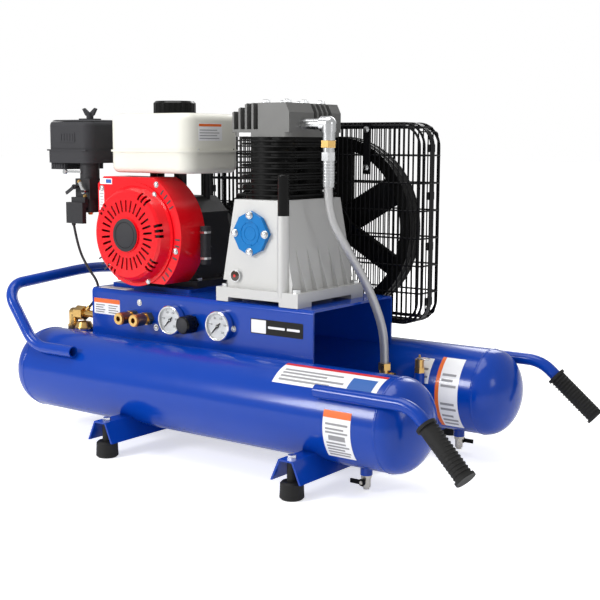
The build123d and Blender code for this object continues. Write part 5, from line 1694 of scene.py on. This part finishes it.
@dataclass
class Lines(Assembly):
    """The braided discharge hose and the throttle cable."""

    hose_route: tuple[Point, ...] = ((187, -50, 482), (187, -50, 438), (206, -29, 384), (222, 8, 325),
                                     (231, 41, 265), (234, 63, 210), (234, 63, 165))
    hose_radius: float = 7.75
    cable_route: tuple[Point, ...] = ((-380, -110, 395), (-369, -111, 352), (-348, -107, 314),
                                      (-326, -99, 284), (-326, -101, 256), (-343, -108, 236))
    cable_radius: float = 2.5
    strand: float = 2.05
    strand_height: float = 0.22

    @staticmethod
    def smooth(route: Sequence[Point], resolution: int) -> list[Vector]:
        """Reads points along the route's smooth line.

        Args:
            route: The control points, millimetres in the drawing's axes.
            resolution: Steps between control points.

        Returns:
            Points along the line, in the same units and axes.
        """
        curve = bpy.data.curves.new("route", "CURVE")
        curve.dimensions = "3D"
        curve.resolution_u = resolution
        spline = curve.splines.new("NURBS")
        spline.points.add(len(route) - 1)
        for point, (x, y, z) in zip(spline.points, route):
            point.co = (x * MM, y * MM, z * MM, 1.0)
        spline.order_u = 3
        spline.use_endpoint_u = True
        carrier = bpy.data.objects.new("route", curve)
        bpy.context.scene.collection.objects.link(carrier)
        bpy.context.view_layer.update()
        mesh = bpy.data.meshes.new_from_object(carrier)
        spots = [v.co / MM for v in mesh.vertices]
        bpy.data.objects.remove(carrier)
        return spots

    def tube(self, route: Sequence[Point], radius: float, name: str, node: str, finish: Finish, sides: int,
             resolution: int, ripple: Callable[[float, float], float] | None) -> Piece:
        """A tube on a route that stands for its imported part.

        Args:
            route: Its control points.
            radius: Its radius.
            name: The piece's name.
            node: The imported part.
            finish: Its finish.
            sides: How many sides it has.
            resolution: Steps between control points.
            ripple: Extra radius over its surface.

        Returns:
            The piece.
        """
        path = self.smooth(route, resolution)
        blank = Blank()
        marks = blank.sweep(path, radius, sides, ripple)
        mesh = blank.mesh(name, 80)
        layer = mesh.uv_layers.new(name="wrap")
        flat = [pair for ring in marks for pair in ring]
        turns = round(math.tau * radius / self.strand)
        for face in mesh.polygons:
            numbers = [mesh.loops[i].vertex_index for i in face.loop_indices]
            met = [flat[n][0] for n in numbers]
            seam = len(numbers) == 4 and max(met) - min(met) > 0.5
            for loop, number in zip(face.loop_indices, numbers):
                turn, along = flat[number]
                turn += 1.0 if seam and turn < 0.5 else 0.0
                layer.data[loop].uv = (turn * turns, along / self.strand)
        piece = dress(mesh, name, [finish])
        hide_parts(node)
        return piece

    def build(self) -> None:
        """Builds both lines."""
        turns = round(math.tau * self.hose_radius / self.strand)

        def weave(turn: float, along: float) -> float:
            """Height of the braid's strands above the hose."""
            right = abs(math.sin(math.pi * (turn * turns + along / self.strand)))
            left = abs(math.sin(math.pi * (turn * turns - along / self.strand)))
            return self.strand_height * (max(right, left) - 1.0)

        self.tube(self.hose_route, self.hose_radius, "braided_hose", "discharge_hose", BRAID, 72, 70, weave)
        self.tube(self.cable_route, self.cable_radius, "throttle_cable_jacket", "throttle_cable", PLASTIC,
                  14, 24, None)


@dataclass
class Grips(Assembly):
    """Ribs round the two handle grips."""

    bend: Point = (463.0, 222.8, 171.0)
    end: Point = (561.0, 240.0, 82.0)
    length: float = 101.0
    radius: float = 14.0
    ribs: int = 14
    first_rib: float = 10.0
    rib_pitch: float = 6.2
    rib_radius: float = 1.1

    def build(self) -> None:
        """Builds the ribs of both grips."""
        for side, name in ((-1, "near"), (1, "far")):
            bend = Vector((self.bend[0], side * self.bend[1], self.bend[2]))
            end = Vector((self.end[0], side * self.end[1], self.end[2]))
            along = (end - bend).normalized()
            start = end - along * (self.length - 4)
            across = along.orthogonal().normalized()
            other = along.cross(across)
            paths = []
            for k in range(self.ribs):
                middle = start + along * (self.first_rib + self.rib_pitch * k)
                paths.append([middle + (across * math.cos(a) + other * math.sin(a)) * (self.radius + 0.1)
                              for a in (math.tau * i / 36 for i in range(37))])
            self.shop.wire.lay(paths, f"{name}_grip_ribs", RUBBER, self.rib_radius, 6)


@dataclass
class Studio:
    """Camera, lamps, sky and floor."""

    eye: Point = (1315.8, -1665.8, 557.5)
    right: Point = (0.8057, 0.5923, 0.0)
    back: Point = (0.5868, -0.7982, 0.13577)
    roll_deg: float = 0.22
    lens_mm: float = 68.96
    sensor_mm: float = 36.0
    floor_half: float = 30.0
    floor_glow: Pair = (0.2, 0.6)
    sky_glow: Pair = (0.5, 1.0)
    aim: Point = (0.0, 0.0, 0.3)
    lamps: tuple[tuple[str, Point, float, float], ...] = (
        ("top_softbox", (-0.2, -0.3, 2.4), 1.6, 30.0),
        ("key_softbox", (-1.3, -2.6, 1.4), 0.8, 48.0),
        ("side_softbox", (2.6, -0.4, 1.1), 0.6, 5.0),
        ("back_softbox", (-0.6, 2.6, 1.8), 1.2, 20.0),
    )

    def camera(self) -> None:
        """Sets the camera at the main view."""
        data = bpy.data.cameras.new("view")
        data.lens = self.lens_mm
        data.sensor_width = self.sensor_mm
        data.clip_end = 50.0
        camera = bpy.data.objects.new("view", data)
        bpy.context.scene.collection.objects.link(camera)
        back = Vector(self.back).normalized()
        right = Vector(self.right)
        right = (right - back * right.dot(back)).normalized()
        up = back.cross(right)
        turn = Matrix((right, up, back)).transposed().to_4x4()
        roll = Matrix.Rotation(math.radians(self.roll_deg), 4, "Z")
        camera.matrix_world = Matrix.Translation(placed(Vector(self.eye))) @ turn @ roll
        bpy.context.scene.camera = camera

    @staticmethod
    def lamp(name: str, spot: Point, aim: Point, size: float, power: float) -> None:
        """Adds a soft square lamp.

        Args:
            name: Its name.
            spot: Where it is, in metres.
            aim: What it points at.
            size: Its side.
            power: Its watts.
        """
        data = bpy.data.lights.new(name, "AREA")
        data.size = size
        data.energy = power
        lamp = bpy.data.objects.new(name, data)
        bpy.context.scene.collection.objects.link(lamp)
        away = Vector(spot) - Vector(aim)
        lamp.matrix_world = Matrix.Translation(spot) @ away.to_track_quat("Z", "Y").to_matrix().to_4x4()

    def glow(self, tree: Tree, unseen: float, seen: float) -> Socket:
        """A strength that differs between what the camera sees and what the object is lit by.

        Args:
            tree: The tree of the floor's or the sky's shader.
            unseen: The strength for all other rays.
            seen: The strength for the camera's own rays.

        Returns:
            The strength's socket.
        """
        path = tree.nodes.new("ShaderNodeLightPath")
        level = tree.nodes.new("ShaderNodeMapRange")
        level.inputs["To Min"].default_value = unseen
        level.inputs["To Max"].default_value = seen
        tree.links.new(path.outputs["Is Camera Ray"], level.inputs["Value"])
        return level.outputs["Result"]

    def floor(self) -> None:
        """Lays the white floor."""
        size = self.floor_half
        mesh = bpy.data.meshes.new("floor")
        corners = [(-size, -size, 0), (size, -size, 0), (size, size, 0), (-size, size, 0)]
        mesh.from_pydata(corners, [], [(0, 1, 2, 3)])
        floor = bpy.data.objects.new("floor", mesh)
        bpy.context.scene.collection.objects.link(floor)
        paint = bpy.data.materials.new("studio_floor")
        paint.use_nodes = True
        tree = paint.node_tree
        shader = tree.nodes["Principled BSDF"]
        shader.inputs["Base Color"].default_value = (0.9, 0.9, 0.9, 1.0)
        shader.inputs["Roughness"].default_value = 0.7
        shader.inputs["Specular IOR Level"].default_value = 0.2
        shader.inputs["Emission Color"].default_value = (1.0, 1.0, 1.0, 1.0)
        tree.links.new(self.glow(tree, *self.floor_glow), shader.inputs["Emission Strength"])
        mesh.materials.append(paint)

    def sky(self) -> None:
        """Sets the white sky, dimmer as a light than as a backdrop."""
        world = bpy.data.worlds.new("sky")
        world.use_nodes = True
        tree = world.node_tree
        backdrop = tree.nodes["Background"]
        backdrop.inputs["Color"].default_value = (1.0, 1.0, 1.0, 1.0)
        tree.links.new(self.glow(tree, *self.sky_glow), backdrop.inputs["Strength"])
        bpy.context.scene.world = world
        bpy.context.scene.view_settings.view_transform = "Standard"

    def build(self) -> None:
        """Sets the camera, floor, sky and lamps."""
        self.camera()
        self.floor()
        self.sky()
        for name, spot, size, power in self.lamps:
            self.lamp(name, spot, self.aim, size, power)


def main() -> None:
    """Builds the compressor's looks in order."""
    logging.basicConfig(level=logging.INFO, format="%(name)s: %(message)s")
    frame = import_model()
    Blank.shift = tank_middle()
    FrameFinishes().paint(frame["nodes"])
    shop = Workshop()
    Studio().build()
    for maker in (Lines, TankTrim, ControlPanel, BeltGuard, PumpTrim, EngineTrim, Grips):
        maker(shop).build()
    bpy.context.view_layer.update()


if __name__ == "__main__":
    main()
